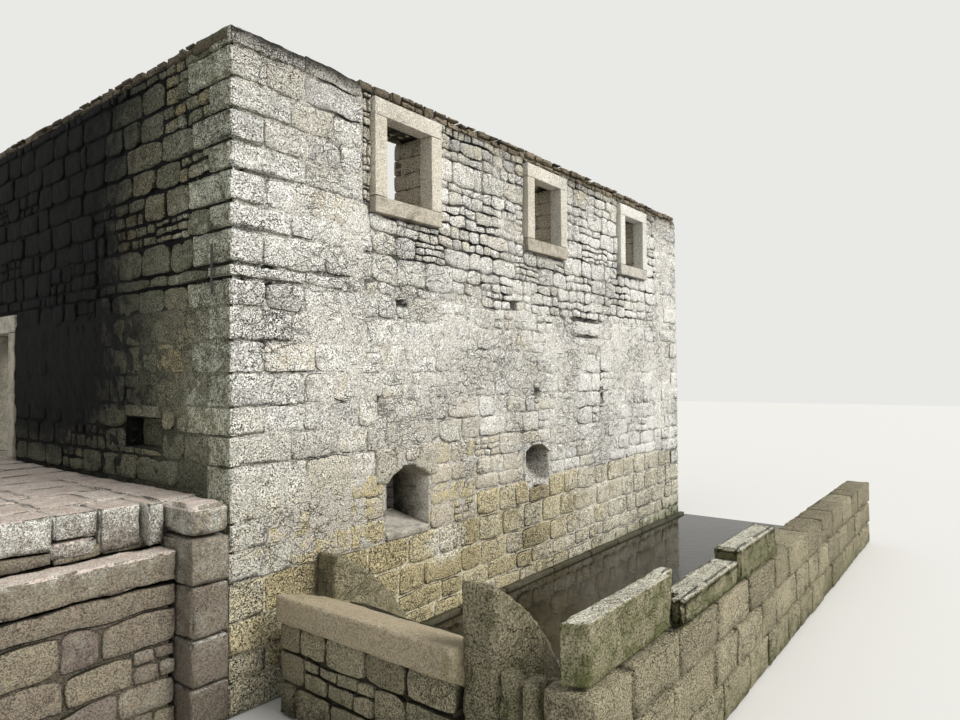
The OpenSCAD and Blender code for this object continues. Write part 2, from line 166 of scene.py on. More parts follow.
def weathered_stone(name, body, wash, soil_and_shade, damp, roughness=0.92, contrast=0.5, specks=0.5,
                    pits=0.5, cracks=0.0, grit=0.0):
    """Sandstone or mortar: stone colours by tint, then limewash, soil with painted shade, and damp over them.
    """
    material, tree, place = begin_material(name)
    tint, washed, soil_and_shade_amount, wet = [add(tree, "Attribute", out="Fac", attribute_name=layer) for layer in LAYERS]
    # Broad weathering 0.7 m, blotches 120 mm, grain 17 mm, sand 9 mm, pits and specks 11 mm
    broad, blotch, coarse, sand, dots = [
        add(tree, "TexNoise", {"Vector": place, "Scale": scale, "Detail": detail, "Roughness": rough})
        for scale, detail, rough in (
            (1.4, 4, 0.5), (8.0, 5, 0.62), (60.0, 5, 0.72), (110.0, 3, 0.7), (92.0, 3, 0.65))]
    # The blotches shift the stone colours and where soil, painted shade and algae begin
    shifted = []
    for swing, amount in ((0.8, tint), (0.8, soil_and_shade_amount), (1.3, wet)):
        moved = add(tree, "Math", {0: blotch, 1: swing, 2: -swing / 2}, operation="MULTIPLY_ADD")
        shifted.append(add(tree, "Math", {0: moved, 1: amount}, operation="ADD"))
    vary, grime_and_shade, creep = shifted
    stone = add(tree, "ValToRGB", {"Fac": vary}, stops=body)
    # Limewash stays in the hollows and goes from the high spots; lichen grows in separate grains
    hold = add(tree, "Math", {0: blotch, 1: 0.9, 2: -0.45 - grit / 2}, operation="MULTIPLY_ADD")
    for source, share in ((coarse, 0.5), (sand, 0.4), (dots, grit)):
        hold = add(tree, "Math", {0: source, 1: share, 2: hold}, operation="MULTIPLY_ADD")
    hold = add(tree, "Math", {0: hold, 1: washed}, operation="ADD")
    lime_from, lime_to = (0.82, 1.0) if grit else (0.72, 1.12)
    limed, dirt_and_shade, green = [
        add(tree, "MapRange", {"Value": value, "From Min": first, "From Max": last},
            interpolation_type="SMOOTHSTEP")
        for value, first, last in ((hold, lime_from, lime_to), (grime_and_shade, 0.15, 0.95), (creep, 0.2, 1.0))]
    # Light and dark play of the face, strongest in its coarse grain
    play = add(tree, "Math", {0: blotch, 1: 0.6}, operation="MULTIPLY")
    play = add(tree, "Math", {0: coarse, 1: 2.4, 2: play}, operation="MULTIPLY_ADD")
    tone = add(tree, "MapRange", {
        "Value": play, "From Min": 1.14, "From Max": 1.58,
        "To Min": 1 - contrast, "To Max": 1 + contrast * 0.35})
    shade = add(tree, "CombineColor", {0: tone, 1: tone, 2: tone})
    # Black lichen specks and soot-dark pits, thicker in some places than in others
    reach = dots
    for source, share in ((broad, 0.25), (blotch, 0.35)):
        reach = add(tree, "Math", {0: source, 1: share, 2: reach}, operation="MULTIPLY_ADD")
    dotted = add(tree, "MapRange", {
        "Value": reach, "From Min": 0.81, "From Max": 0.92, "To Max": specks})
    # Limewash on the stone, its light and shade, then specks, soil and painted shade in joints and hollows,
    # stains, algae and damp
    final = stone
    for cover, coat, blend in ((limed, colour(wash), "MIX"), (1.0, shade, "MULTIPLY"),
                               (dotted, colour(soil_and_shade), "MIX"), (dirt_and_shade, colour(soil_and_shade), "MIX"),
                               (green, colour(damp), "MIX")):
        final = add(tree, "Mix", {0: cover, 6: final, 7: coat}, out=2, data_type="RGBA", blend_type=blend)
    # Relief of grain, sand and pits
    height = add(tree, "Math", {0: coarse, 1: 0.012}, operation="MULTIPLY")
    height = add(tree, "Math", {0: sand, 1: 0.006, 2: height}, operation="MULTIPLY_ADD")
    hole = add(tree, "MapRange", {
        "Value": dots, "From Min": 0.54, "From Max": 0.66, "To Max": -0.007 * pits})
    height = add(tree, "Math", {0: height, 1: hole}, operation="ADD")
    if cracks:
        # Short wandering cracks where the skin has broken away, in some places only
        strewn = add(tree, "TexNoise", {"Vector": place, "Scale": 4.0, "Detail": 3}, out=1)
        bent = add(tree, "VectorMath", {0: strewn, 1: (0.3, 0.3, 0.3), 2: place},
                   operation="MULTIPLY_ADD")
        flat = add(tree, "Mapping", {"Vector": bent, "Scale": (1.0, 1.0, 2.2)})
        cells = add(tree, "TexVoronoi", {"Vector": flat, "Scale": 4.6}, out="Distance",
                    feature="DISTANCE_TO_EDGE")
        split = add(tree, "MapRange", {
            "Value": cells, "From Min": 0.012, "From Max": 0.05, "To Min": 1, "To Max": 0})
        some = add(tree, "Math", {0: broad, 1: 1.2, 2: blotch}, operation="MULTIPLY_ADD")
        some = add(tree, "MapRange", {"Value": some, "From Min": 1.06, "From Max": 1.16})
        split = add(tree, "Math", {0: split, 1: some}, operation="MULTIPLY")
        height = add(tree, "Math", {0: split, 1: -0.016, 2: height}, operation="MULTIPLY_ADD")
        split = add(tree, "Math", {0: split, 1: cracks}, operation="MULTIPLY")
        final = add(tree, "Mix", {0: split, 6: final, 7: colour(soil_and_shade)}, out=2, data_type="RGBA")
    bump = add(tree, "Bump", {"Strength": 1.0, "Distance": 1.0, "Height": height})
    shader = add(tree, "BsdfPrincipled", {
        "Base Color": final, "Roughness": roughness, "Specular IOR Level": 0.2, "Normal": bump})
    add(tree, "OutputMaterial", {"Surface": shader})
    return material


# Sandstone rubble under the remains of limewash: chalky pale skin, grey and beige stones, some ochre
LIMEWASHED = weathered_stone(
    "limewashed sandstone rubble",
    [(0.0, "b9b6b0"), (0.25, "c6c2b6"), (0.5, "cec8b7"), (0.7, "ccc6b0"), (0.85, "d2c7b5"), (0.95, "cdc5a6"),
     (1.0, "d2c49c")],
    wash="efede6", soil_and_shade="35322c", damp="5f5f40", contrast=0.6, specks=0.85, pits=1.8, cracks=0.4)
# Corner stones and the large stones beside them: the same, whole and pitted
QUOINS = weathered_stone(
    "limewashed corner sandstone",
    [(0.0, "bab8b2"), (0.4, "c6c4bb"), (0.8, "cfccbf"), (1.0, "cfc4a2")],
    wash="efede6", soil_and_shade="35322c", damp="5f5f40", contrast=0.6, specks=0.95, pits=2.0, cracks=0.4)
# Lime mortar: paler and sandier than the stones, black where it has washed out
MORTAR = weathered_stone(
    "lime mortar", [(0.0, "b5b1a6"), (0.5, "cfcabd"), (1.0, "ddd4b6")],
    wash="e5e2d9", soil_and_shade="28251f", damp="55553a", contrast=0.6, specks=0.85, pits=1.2, cracks=0.35)
# Squared yellow sandstone of the plinth, pitted like a sponge, algae towards the water
YELLOW = weathered_stone(
    "pitted yellow sandstone",
    [(0.0, "a89c7a"), (0.4, "bfb28c"), (0.7, "cfc29c"), (1.0, "bfb8a2")],
    wash="e0dac6", soil_and_shade="2c2818", damp="566032", contrast=1.0, specks=1.0, pits=3.2, cracks=0.2)
# Weathered rubble away from the light: blackened by algae and lichen; its dark body and near-black soil colour
# are also painted shade on the left wall
DARK = weathered_stone(
    "blackened sandstone rubble with painted shade",
    [(0.0, "6a6a58"), (0.4, "7c7b66"), (0.75, "8a856c"), (1.0, "968a68")],
    wash="d3d5c0", soil_and_shade="080808", damp="333824", contrast=0.8, specks=0.9, pits=3.0, cracks=0.3, grit=1.2)
# Finely dressed sandstone of the frames: even grain, few pits
DRESSED = weathered_stone(
    "dressed sandstone", [(0.0, "cfc6b3"), (0.5, "d8d0be"), (1.0, "dcd6c8")],
    wash="e2e0d6", soil_and_shade="544f42", damp="7c7f66", roughness=0.88, contrast=0.36, specks=0.6, pits=0.6)
# Trodden sandstone: rosy brown and smooth on top
TRODDEN = weathered_stone(
    "trodden rosy sandstone", [(0.0, "bdada0"), (0.5, "cbbbaf"), (1.0, "d6c9bc")],
    wash="dad2c6", soil_and_shade="3a302a", damp="66664c", roughness=0.8, contrast=0.42, specks=0.4, pits=0.5)
# Sandy floor slab of the race head, worn smooth, moss-stained at its edges
SANDY = weathered_stone(
    "worn sandy slab", [(0.0, "a3967d"), (0.5, "b3a68c"), (1.0, "beb299")],
    wash="cfc6b0", soil_and_shade="3c352a", damp="76783a", roughness=0.9, contrast=0.4, specks=0.35, pits=0.6)
# Block faces with grains and crusts of pale lichen over brown stone
LICHEN = weathered_stone(
    "brown sandstone with pale lichen", [(0.0, "786c62"), (0.5, "857a6a"), (1.0, "928873")],
    wash="eeeee4", soil_and_shade="26241c", damp="5e643c", contrast=0.5, specks=0.6, pits=2.2, grit=2.4)
# Race stones: brown-grey, green with algae lower down, lichen in grains
ALGAE = weathered_stone(
    "algae-stained sandstone", [(0.0, "8b836c"), (0.5, "9b9379"), (1.0, "a9a086")],
    wash="dedccb", soil_and_shade="27241b", damp="5c603a", contrast=0.6, specks=0.7, pits=2.6, cracks=0.1, grit=1.8)
# Wall heads: bare brown stones under earth and dead moss
HEADSTONE = weathered_stone(
    "earthy head stones", [(0.0, "6f6656"), (0.5, "857a67"), (1.0, "978b76")],
    wash="b9b3a2", soil_and_shade="211d16", damp="4d5030", contrast=0.7, specks=0.8, pits=1.3)
# Rubble inside, never limewashed: reddish brown
INSIDE = weathered_stone(
    "bare rubble inside", [(0.0, "7d7062"), (0.5, "938472"), (1.0, "a0937d")],
    wash="d6ccb6", soil_and_shade="241f19", damp="4c4d30", contrast=0.6, specks=0.8, pits=1.2)
# Stone under the water line
WET = weathered_stone(
    "wet silted stone", [(0.0, "4b4737"), (1.0, "5a5543")],
    wash="75715d", soil_and_shade="1a1813", damp="23270f", roughness=0.45, contrast=0.5, specks=0.6, pits=0.8)


def rusted_iron():
    """Hand-forged iron strap, matt brown rust with darker scale."""
    material, tree, place = begin_material("rusted wrought iron")
    scale = add(tree, "TexNoise", {"Vector": place, "Scale": 90.0, "Detail": 6})
    rust = add(tree, "ValToRGB", {"Fac": scale}, stops=[(0.35, "2a2725"), (0.65, "55504b")])
    bump = add(tree, "Bump", {"Strength": 0.6, "Distance": 0.002, "Height": scale})
    shader = add(tree, "BsdfPrincipled", {"Base Color": rust, "Roughness": 0.85, "Normal": bump})
    add(tree, "OutputMaterial", {"Surface": shader})
    return material


def still_water():
    """Peat-brown still water: dark body under a clear, barely rippled surface."""
    material, tree, place = begin_material("still peat-brown water")
    silt = add(tree, "TexNoise", {"Vector": place, "Scale": 1.1, "Detail": 5})
    body = add(tree, "ValToRGB", {"Fac": silt}, stops=[(0.35, "19160e"), (0.7, "2b2618")])
    ripple = add(tree, "TexNoise", {"Vector": place, "Scale": 9.0, "Detail": 2})
    bump = add(tree, "Bump", {"Strength": 0.25, "Distance": 0.01, "Height": ripple})
    shader = add(tree, "BsdfPrincipled", {"Base Color": body, "Roughness": 0.08, "IOR": 1.33, "Normal": bump})
    add(tree, "OutputMaterial", {"Surface": shader})
    return material


# Tools for masonry
def new_part():
    """An empty mesh with the layers that the materials read."""
    part = bmesh.new()
    for layer in LAYERS:
        part.verts.layers.float.new(layer)
    return part


def pour(heap, part):
    """Adds a finished part to a heap of masonry and frees it."""
    mesh = bpy.data.meshes.new("part")
    part.to_mesh(mesh)
    heap.from_mesh(mesh)
    bpy.data.meshes.remove(mesh)
    part.free()


def finish_piece(name, heap, materials, slot, *nodes, crisp=False):
    """Makes the heap a piece of the object that stands for the named nodes; crisp keeps its arrises sharp."""
    mesh = bpy.data.meshes.new(name)
    heap.to_mesh(mesh)
    heap.free()
    mesh.shade_smooth()
    if crisp:
        mesh.set_sharp_from_angle(angle=math.radians(28))
    for material in materials:
        mesh.materials.append(material)
    piece = new_object(name, mesh)
    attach(piece, "root")
    if nodes:
        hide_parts(*nodes)
    return piece


def spaced(start, end, edge, step):
    """Marks from start to end: one close to each end, and the rest about a step apart."""
    edge = min(edge, (end - start) / 4)
    span = end - start - 2 * edge
    inner = max(1, round(span / step))
    return [start] + [start + edge + span * i / inner for i in range(inner + 1)] + [end]


def plane(origin, along, up, inward):
    """Turns (along, up, depth) on a wall face into the shared frame."""
    return Matrix((along.to_4d(), up.to_4d(), inward.to_4d(), origin.to_4d())).transposed()


def box_faces(x0, x1, y0, y1):
    """The near, far, left and right face of a block of masonry; depth counts into it."""
    return (plane(at(0, y0, 0), AXIS_X, AXIS_Z, AXIS_Y), plane(at(0, y1, 0), AXIS_X, AXIS_Z, -AXIS_Y),
            plane(at(x0, 0, 0), AXIS_Y, AXIS_Z, AXIS_X), plane(at(x1, 0, 0), AXIS_Y, AXIS_Z, -AXIS_X))


def always(*values):
    """A look, a paint or the ends of a course that are the same everywhere."""
    return lambda *place: values


def grow(rect, side, down=None, up=None):
    """A rectangle (u0, u1, v0, v1) made wider by side at each end, and larger by down and up."""
    u0, u1, v0, v1 = rect
    return u0 - side, u1 + side, v0 - (side if down is None else down), v1 + (side if up is None else up)


def walk(rnd, start, end, short, long, least):
    """Cuts a length into random pieces; a rest shorter than least goes to the last of them."""
    while end - start > 0.05:
        stop = start + rnd.uniform(short, long)
        stop = end if end - stop < least else stop
        yield start, stop
        start = stop


def thicken(part):
    """Draws all faces of a part out and returns the new vertices, still in the old places."""
    grown = bmesh.ops.extrude_face_region(part, geom=part.faces[:])["geom"]
    return {g for g in grown if isinstance(g, bmesh.types.BMVert)}


def cut_through(part, spot, side):
    """Cuts new edges into a part where the plane at a spot, square to side, goes through it."""
    bmesh.ops.bisect_plane(part, geom=part.verts[:] + part.edges[:] + part.faces[:], dist=1e-5,
                           plane_co=spot, plane_no=side)


def free_spans(u0, u1, v0, v1, openings):
    """Stretches of a course that no opening takes, with what is left above or below one."""
    marks = {u0, u1}
    near = [o for o in openings if o[2] < v1 - 0.005 and o[3] > v0 + 0.005 and o[0] < u1 and o[1] > u0]
    for rect in near:
        marks.update(m for m in rect[:2] if u0 < m < u1)
    marks = sorted(marks)
    for a, b in zip(marks, marks[1:]):
        taken = [o for o in near if o[0] < (a + b) / 2 < o[1]]
        if not taken:
            yield a, b, v0, v1
            continue
        low, high = min(o[2] for o in taken), max(o[3] for o in taken)
        if low - v0 > 0.03:
            yield a, b, v0, low
        if v1 - high > 0.03:
            yield a, b, high, v1


def cut_course(rnd, a, b, v0, v1, look):
    """Cuts a stretch of a course into stones; where the wall is rubble, into small ones in layers."""
    u = a
    while b - u > 0.02:
        rubble, length, relief, gap = look(u + 0.1, (v0 + v1) / 2)
        if rnd.random() < rubble:
            end = u + rnd.uniform(0.4, 0.85)
            end = b if b - end < 0.18 else end
            tall = v1 - v0
            chance = rnd.random()
            if tall < 0.15 or chance < 0.4:
                cuts = [v0, v1]
            elif chance < 0.93:
                cuts = [v0, v0 + tall * rnd.uniform(0.35, 0.65), v1]
            else:
                cuts = [v0, v0 + tall * rnd.uniform(0.25, 0.4), v0 + tall * rnd.uniform(0.6, 0.75), v1]
            for low, high in zip(cuts, cuts[1:]):
                w = u
                while end - w > 0.02:
                    stop = w + min(0.45, max(0.1, (high - low) * rnd.uniform(0.9, 2.3)))
                    stop = end if end - stop < 0.12 else stop
                    yield w, stop, low, high, relief, gap
                    w = stop
        else:
            end = u + length * rnd.uniform(0.65, 1.4)
            end = b if b - end < 0.45 * length else end
            yield u, end, v0, v1, relief, gap
        u = end


def lay_stone(part, cell, rnd, step, tint):
    """One stone of a wall face, laid as (along, up, depth): a pillowed face and sides going into the wall."""
    u0, u1, v0, v1, relief, gap = cell
    gap_u, gap_v = gap * rnd.uniform(0.6, 1.6), gap * rnd.uniform(0.5, 1.4)
    cols = spaced(u0 + gap_u / 2, u1 - gap_u / 2, RIM, step)
    rows = spaced(v0 + gap_v / 2, v1 - gap_v / 2, RIM, step)
    made = bmesh.ops.create_grid(part, x_segments=len(cols) - 1, y_segments=len(rows) - 1, size=0.5)["verts"]
    layer = part.verts.layers.float
    tints, washes, soil_shade_layers = layer["tint"], layer["wash"], layer["soil_and_shade"]
    depth = rnd.uniform(0.1, 1.0) * relief
    tilt_u, tilt_v = rnd.uniform(-0.5, 0.5) * relief, rnd.uniform(-0.5, 0.5) * relief
    last_i, last_j = len(cols) - 1, len(rows) - 1
    bias = rnd.uniform(-0.1, 0.1)
    # Each corner is cut by its own amount, and the top and bottom taper
    wide, tall = (cols[-1] - cols[0]) / 2, (rows[-1] - rows[0]) / 2
    loose = min(1.0, relief / 0.026)
    cuts = [min(wide, tall) * (0.05 + loose * rnd.uniform(0.0, 0.24)) for _ in range(4)]
    tapers = [rnd.uniform(-1.0, 1.0) * 0.018 * loose * min(1.0, wide / 0.12) for _ in range(2)]
    for vert in made:
        i, j = round((vert.co.x + 0.5) * last_i), round((vert.co.y + 0.5) * last_j)
        rim = i in (0, last_i) or j in (0, last_j)
        lean = tilt_u * (i / last_i - 0.5) + tilt_v * (j / last_j - 0.5)
        a, b = (cols[i] - cols[0]) / wide - 1, (rows[j] - rows[0]) / tall - 1
        cut = cuts[(a > 0) + 2 * (b > 0)] * abs(a * b) ** 4
        taper = tapers[b > 0] * a
        sunk = (RIM * loose if rim else 0) + 0.005 * loose * max(abs(a), abs(b)) ** 4
        vert.co = (cols[i] - math.copysign(cut, a), rows[j] - math.copysign(cut + over(taper, 0) * abs(b), b),
                   max(0.001, depth + lean) + sunk)
        vert[tints] = tint
        vert[washes] = bias
        # Rims are soiled, most along the beds: dirt in the joints and painted shade
        vert[soil_shade_layers] = (0.75 if j in (0, last_j) else 0.25) if rim else 0
    edges = list({e for vert in made for e in vert.link_edges if e.is_boundary})
    grown = bmesh.ops.extrude_edge_only(part, edges=edges)["geom"]
    # The sides going into the joints are painted black: dirt and painted shade in the joints
    for vert in [g for g in grown if isinstance(g, bmesh.types.BMVert)]:
        vert.co.z = depth + relief + 0.07
        vert[tints] = tint
        vert[soil_shade_layers] = 1
    rims = [g for g in grown if isinstance(g, bmesh.types.BMEdge) and g.is_boundary]
    bmesh.ops.edgeloop_fill(part, edges=rims)


def bumps(place, size, detail=4):
    """How far a rough face is worn at a place, from 0 to about 1."""
    return max(0.0, 0.5 + 0.5 * noise.fractal(place * size, 0.8, 2.1, detail))


def settle(part, turn, sway, jag, rough, paint, bend):
    """Makes laid stones uneven, paints them and puts them in their place in the shared frame."""
    layer = part.verts.layers.float
    washes, soil_shade_layers, damps = layer["wash"], layer["soil_and_shade"], layer["damp"]
    low, high = cad_box
    for vert in part.verts:
        u, v, depth = vert.co
        spot = turn @ vert.co
        drift = noise.noise_vector(spot * 1.7)
        chip = noise.noise_vector(spot * 17.0)
        twist = noise.noise_vector(spot * 4.6) * (bend(u, v) if bend else 0.008)
        vert.co.x += drift.x * sway * 0.8 + chip.x * jag + twist.x * 0.7
        vert.co.y += drift.z * sway + chip.y * jag + twist.y
        vert.co.z += rough * bumps(spot, 9.0, 3) * 2
        vert[soil_shade_layers] *= max(0.0, 0.8 + 2.2 * noise.noise(spot * 1.7))
        if paint:
            wash, soil_and_shade, damp = paint(u, v, depth)
            vert[washes] += wash
            vert[soil_shade_layers] += soil_and_shade
            vert[damps] += damp
        spot = turn @ vert.co
        for k in range(3):
            spot[k] = min(max(spot[k], low[k] + 0.002), high[k] - 0.002)
        vert.co = spot
    bmesh.ops.recalc_face_normals(part, faces=part.faces)


def lay_field(heap, turn, ends, levels, openings, look, seed, step=0.06, paint=None, tints=None,
              sway=0.014, jag=0.006, rough=0.006, bend=None):
    """Lays a whole wall face course by course between the ends that ends(k) gives."""
    rnd = random.Random(seed)
    for k, (v0, v1) in enumerate(zip(levels, levels[1:])):
        part = new_part()
        u0, u1 = ends(k)
        for a, b, low, high in free_spans(u0, u1, v0, v1, openings):
            for cell in cut_course(rnd, a, b, low, high, look):
                tint = rnd.random()
                if tints:
                    tint = tints(cell, tint)
                lay_stone(part, cell, rnd, step, tint)
        settle(part, turn, sway, jag, rough, paint, bend)
        pour(heap, part)


def lattice_box(part, low, high, step, edge):
    """A box with its faces cut into a lattice that is finer at the arrises."""
    marks = [spaced(low[k], high[k], edge, step[k] if isinstance(step, tuple) else step) for k in range(3)]
    made = bmesh.new()
    bmesh.ops.create_cube(made, size=1.0)
    for k in range(3):
        ring = [e for e in made.edges if abs(e.verts[0].co[k] - e.verts[1].co[k]) > 1e-4]
        bmesh.ops.subdivide_edges(made, edges=ring, cuts=len(marks[k]) - 2, use_grid_fill=True)
    for vert in made.verts:
        vert.co = [marks[k][round((vert.co[k] + 0.5) * (len(marks[k]) - 1))] for k in range(3)]
    bmesh.ops.recalc_face_normals(made, faces=made.faces)
    before = len(part.verts)
    pour(part, made)
    part.verts.ensure_lookup_table()
    return part.verts[before:]


def block(heap, low, high, step=0.05, edge=0.02, rough=0.008, chips=0.012, tint=0.5, paint=None,
          slots=None, size=9.0):
    """A worn block of stone between two corners, never proud of them; slots picks a material by normal."""
    part = new_part()
    low, high = at(*low), at(*high)
    edge = min([edge] + [(high[k] - low[k]) / 3 for k in range(3)])
    verts = lattice_box(part, low, high, step, edge)
    layer = part.verts.layers.float
    inner_low = low + Vector((edge,) * 3)
    inner_high = high - Vector((edge,) * 3)
    wear = []
    for vert in verts:
        p = vert.co.copy()
        core = Vector([min(max(p[k], inner_low[k]), inner_high[k]) for k in range(3)])
        out = p - core
        hard = sum(abs(out[k]) > edge * 0.5 for k in range(3)) - 1
        normal = out.normalized() if out.length > 1e-6 else Vector((0, 0, 1))
        bite = max(0.0, noise.noise(p * 6.0 + Vector((7.1, 3.3, 9.7)))) * chips * max(0, hard) * 2
        wear.append((vert, core + normal * (edge - rough * bumps(p, size) * 1.4 - bite)))
        vert[layer["tint"]] = tint
        found = paint(p - SHIFT, normal) if paint else (0, 0, 0)
        vert[layer["wash"]], vert[layer["soil_and_shade"]], vert[layer["damp"]] = found
    for vert, place in wear:
        vert.co = (place.x, place.y, min(place.z, cad_box[1][2] - 0.002))
    if slots:
        part.normal_update()
        for face in part.faces:
            face.material_index = slots(face.normal)
    pour(heap, part)


def lay_core(heap, turn, length, bottom, top, thick, openings, step, outer, inner, paint=None,
             tints=None, ends=0.02):
    """The mortar body of a wall, with its openings cut through and both faces uneven."""
    part = new_part()
    layer = part.verts.layers.float
    nu, nv = max(2, round(length / step)), max(2, round((top - bottom) / step))
    made = bmesh.ops.create_grid(part, x_segments=nu, y_segments=nv, size=0.5)["verts"]
    for vert in made:
        vert.co = ((vert.co.x + 0.5) * length, bottom + (vert.co.y + 0.5) * (top - bottom), 0)
    for u0, u1, v0, v1 in openings:
        for spot, side in (((u0, 0, 0), (1, 0, 0)), ((u1, 0, 0), (1, 0, 0)),
                           ((0, v0, 0), (0, 1, 0)), ((0, v1, 0), (0, 1, 0))):
            cut_through(part, spot, side)
        gone = [f for f in part.faces if u0 < f.calc_center_median().x < u1
                and v0 < f.calc_center_median().y < v1]
        bmesh.ops.delete(part, geom=gone, context="FACES")
    back = thicken(part)
    for vert in part.verts:
        u, v, _ = vert.co
        spot = turn @ vert.co
        wave = noise.fractal(spot * 5.0, 0.7, 2.1, 4)
        vert.co.z = thick - inner(u, v, wave) if vert in back else outer(u, v, wave)
        if u < 1e-4 or u > length - 1e-4:
            vert.co.x += ends if u < 1e-4 else -ends
        if paint:
            vert[layer["wash"]], vert[layer["soil_and_shade"]], vert[layer["damp"]] = paint(u, v, vert.co.z)
        vert[layer["tint"]] = tints(u, v) if tints else 0.5
    part.transform(turn)
    bmesh.ops.recalc_face_normals(part, faces=part.faces)
    pour(heap, part)


def inside(u, v, spot):
    """How deep (u, v) is inside an oval (centre u, centre v, half width, half height, strength)."""
    a, b, half_u, half_v, strength = spot
    far = ((u - a) / half_u) ** 2 + ((v - b) / half_v) ** 2
    return strength * over(1, far)


# Wall faces, outside and inside
FRONT, BACK, LEFT, RIGHT = box_faces(0, LONG, 0, DEEP)
BACK_IN, FRONT_IN, RIGHT_IN, LEFT_IN = box_faces(LONG - WALL, WALL, DEEP - WALL, WALL)

# Bed joints, counted up the near corner
LEVELS = [0.0, 0.275, 0.48, 0.76, 1.07, 1.32, 1.55, 1.77, 2.01, 2.26, 2.5, 2.78, 3.05, 3.33, 3.57, 3.69,
          3.98, 4.2, 4.47, 4.71, 4.97, 5.23, 5.5]
PLINTH_TOP = LEVELS[4]
HEAD_FROM = 5.6
# The near corner stone that is two courses high, and the large block beside it
TALL = 6
TALL_BLOCK = (0.78, 1.33, LEVELS[TALL], LEVELS[TALL + 2])


def window_rect(i):
    """The rectangle (u0, u1, v0, v1) that the frame of front window i takes."""
    low, high = local_box(f"window_{i}_sill")[0], local_box(f"window_{i}_lintel")[1]
    return low.x, high.x, low.z, high.z


# Openings as (u0, u1, v0, v1)
WINDOWS = [window_rect(i) for i in (1, 2, 3)]
SHAFT_CENTRES = (2.105, 4.6)
SHAFT_HALF = 0.325
SHAFTS = [(1.78, 2.43, PLINTH_TOP, 1.81), (4.275, 4.925, PLINTH_TOP, 1.81)]
DOOR = (local_box("door_threshold")[0].y, local_box("door_threshold")[1].y,
        local_box("door_threshold")[0].z, local_box("door_lintel")[1].z)
NICHE = (1.15, 1.84, 2.085, 2.365)
# How far a window's clear opening lies inside its frame: at each side, below, above
CLEAR = (-0.125, -0.121, -0.131)
REAR_SILL = REAR_HEAD - 1.37
BACK_CENTRES = (2.09, 4.825, 7.56)
RIGHT_CENTRES = (3.5,)


def rear_rect(centre, inner=False):
    """The hole that a rear window takes in the outer face, or behind its frame."""
    if inner:
        return centre - 0.3825, centre + 0.3825, REAR_SILL + 0.121, REAR_SILL + 1.031
    return centre - 0.52, centre + 0.52, REAR_SILL - 0.012, REAR_SILL + 1.174


# Front wall
def front_rubble(u, v):
    """Share of small rubble: all but the corners and the plinth of the front wall."""
    if u > 8.6 or v < 1.4:
        return 0.08
    side = clamp((u - 0.95) / 0.5)
    return side * (0.95 if v > 3.6 else 0.5 if v > 2.4 else 0.2)


# Smooth remains of plaster, as (along, up, half width, half height, strength)
PLASTER = [(7.1, 3.1, 0.9, 0.55, 0.9), (7.5, 3.2, 0.16, 0.22, 1.2), (2.7, 3.2, 1.0, 0.4, 0.55),
           (5.4, 3.0, 0.7, 0.5, 0.7), (6.7, 2.2, 0.5, 0.6, 0.5), (8.6, 2.5, 0.6, 0.7, 0.6),
           (3.9, 2.9, 0.7, 0.35, 0.6), (1.0, 4.25, 0.9, 0.25, 0.35)]
# Single yellow and orange stones
WARM = [(0.17, 3.18), (0.61, 2.82), (1.91, 2.6), (1.99, 2.31), (0.12, 2.13), (1.47, 1.57), (2.78, 5.07),
        (3.08, 4.22), (0.79, 4.3), (3.6, 2.1), (4.1, 1.9), (5.9, 1.6), (4.9, 2.35)]
# Holes left by the scaffold and by lost stones, as (along, up, half width, half height)
HOLES = [(4.06, 3.63, 0.09, 0.05), (4.61, 2.52, 0.07, 0.07), (6.44, 2.43, 0.05, 0.12), (1.7, 2.45, 0.03, 0.08),
         (2.02, 3.51, 0.08, 0.03), (5.99, 3.57, 0.4, 0.02), (5.98, 3.3, 0.4, 0.018)]
# Past the first shaft opening the squared yellow stone is one course higher, as (u0, u1, v0, v1)
UPPER_PLINTH = (3.25, LONG - 0.36, PLINTH_TOP, 1.38)


def yellow_zone(u, v):
    """Whether a place on the front wall lies in its squared yellow stone."""
    return v < PLINTH_TOP or (u > UPPER_PLINTH[0] and v < UPPER_PLINTH[3])


def front_tint(cell, tint):
    """Most stones are grey to beige; low down and here and there they are rosy, yellow or orange."""
    u0, u1, v0, v1 = cell[:4]
    if any(u0 < u < u1 and v0 < v < v1 for u, v in WARM):
        return 0.92 + 0.08 * tint
    if v1 < 2.1:
        return 0.8 + 0.2 * tint
    if u0 < 1.3 and v0 > 3.3:
        return tint * 0.4
    if tint > 0.9:
        return tint - 0.1
    return tint * 0.78


def front_look(u, v):
    """Share of rubble, stone length, how far faces stand back, and joint width."""
    if v < PLINTH_TOP:
        return 0.05, 0.5, 0.013, 0.022
    if v < 1.6 and u < 1.8:
        return 0.05, 0.6, 0.014, 0.012
    rubble = front_rubble(u, v)
    if v > 3.6 and rubble > 0.5:
        return rubble, 0.35, 0.022, 0.009
    if v > 3.3:
        return rubble, 0.5, 0.018, 0.014
    return rubble, 0.42, 0.016, 0.010


def front_bend(u, v):
    """How much joints wander: a lot in the rubble, little in the squared courses."""
    if v < PLINTH_TOP:
        return 0.012
    return 0.014 + 0.02 * front_rubble(u, v)


def plastered(u, v):
    """How much plaster is left on the front wall, from 0 to 1."""
    return min(1.0, sum(inside(u, v, p) for p in PLASTER))


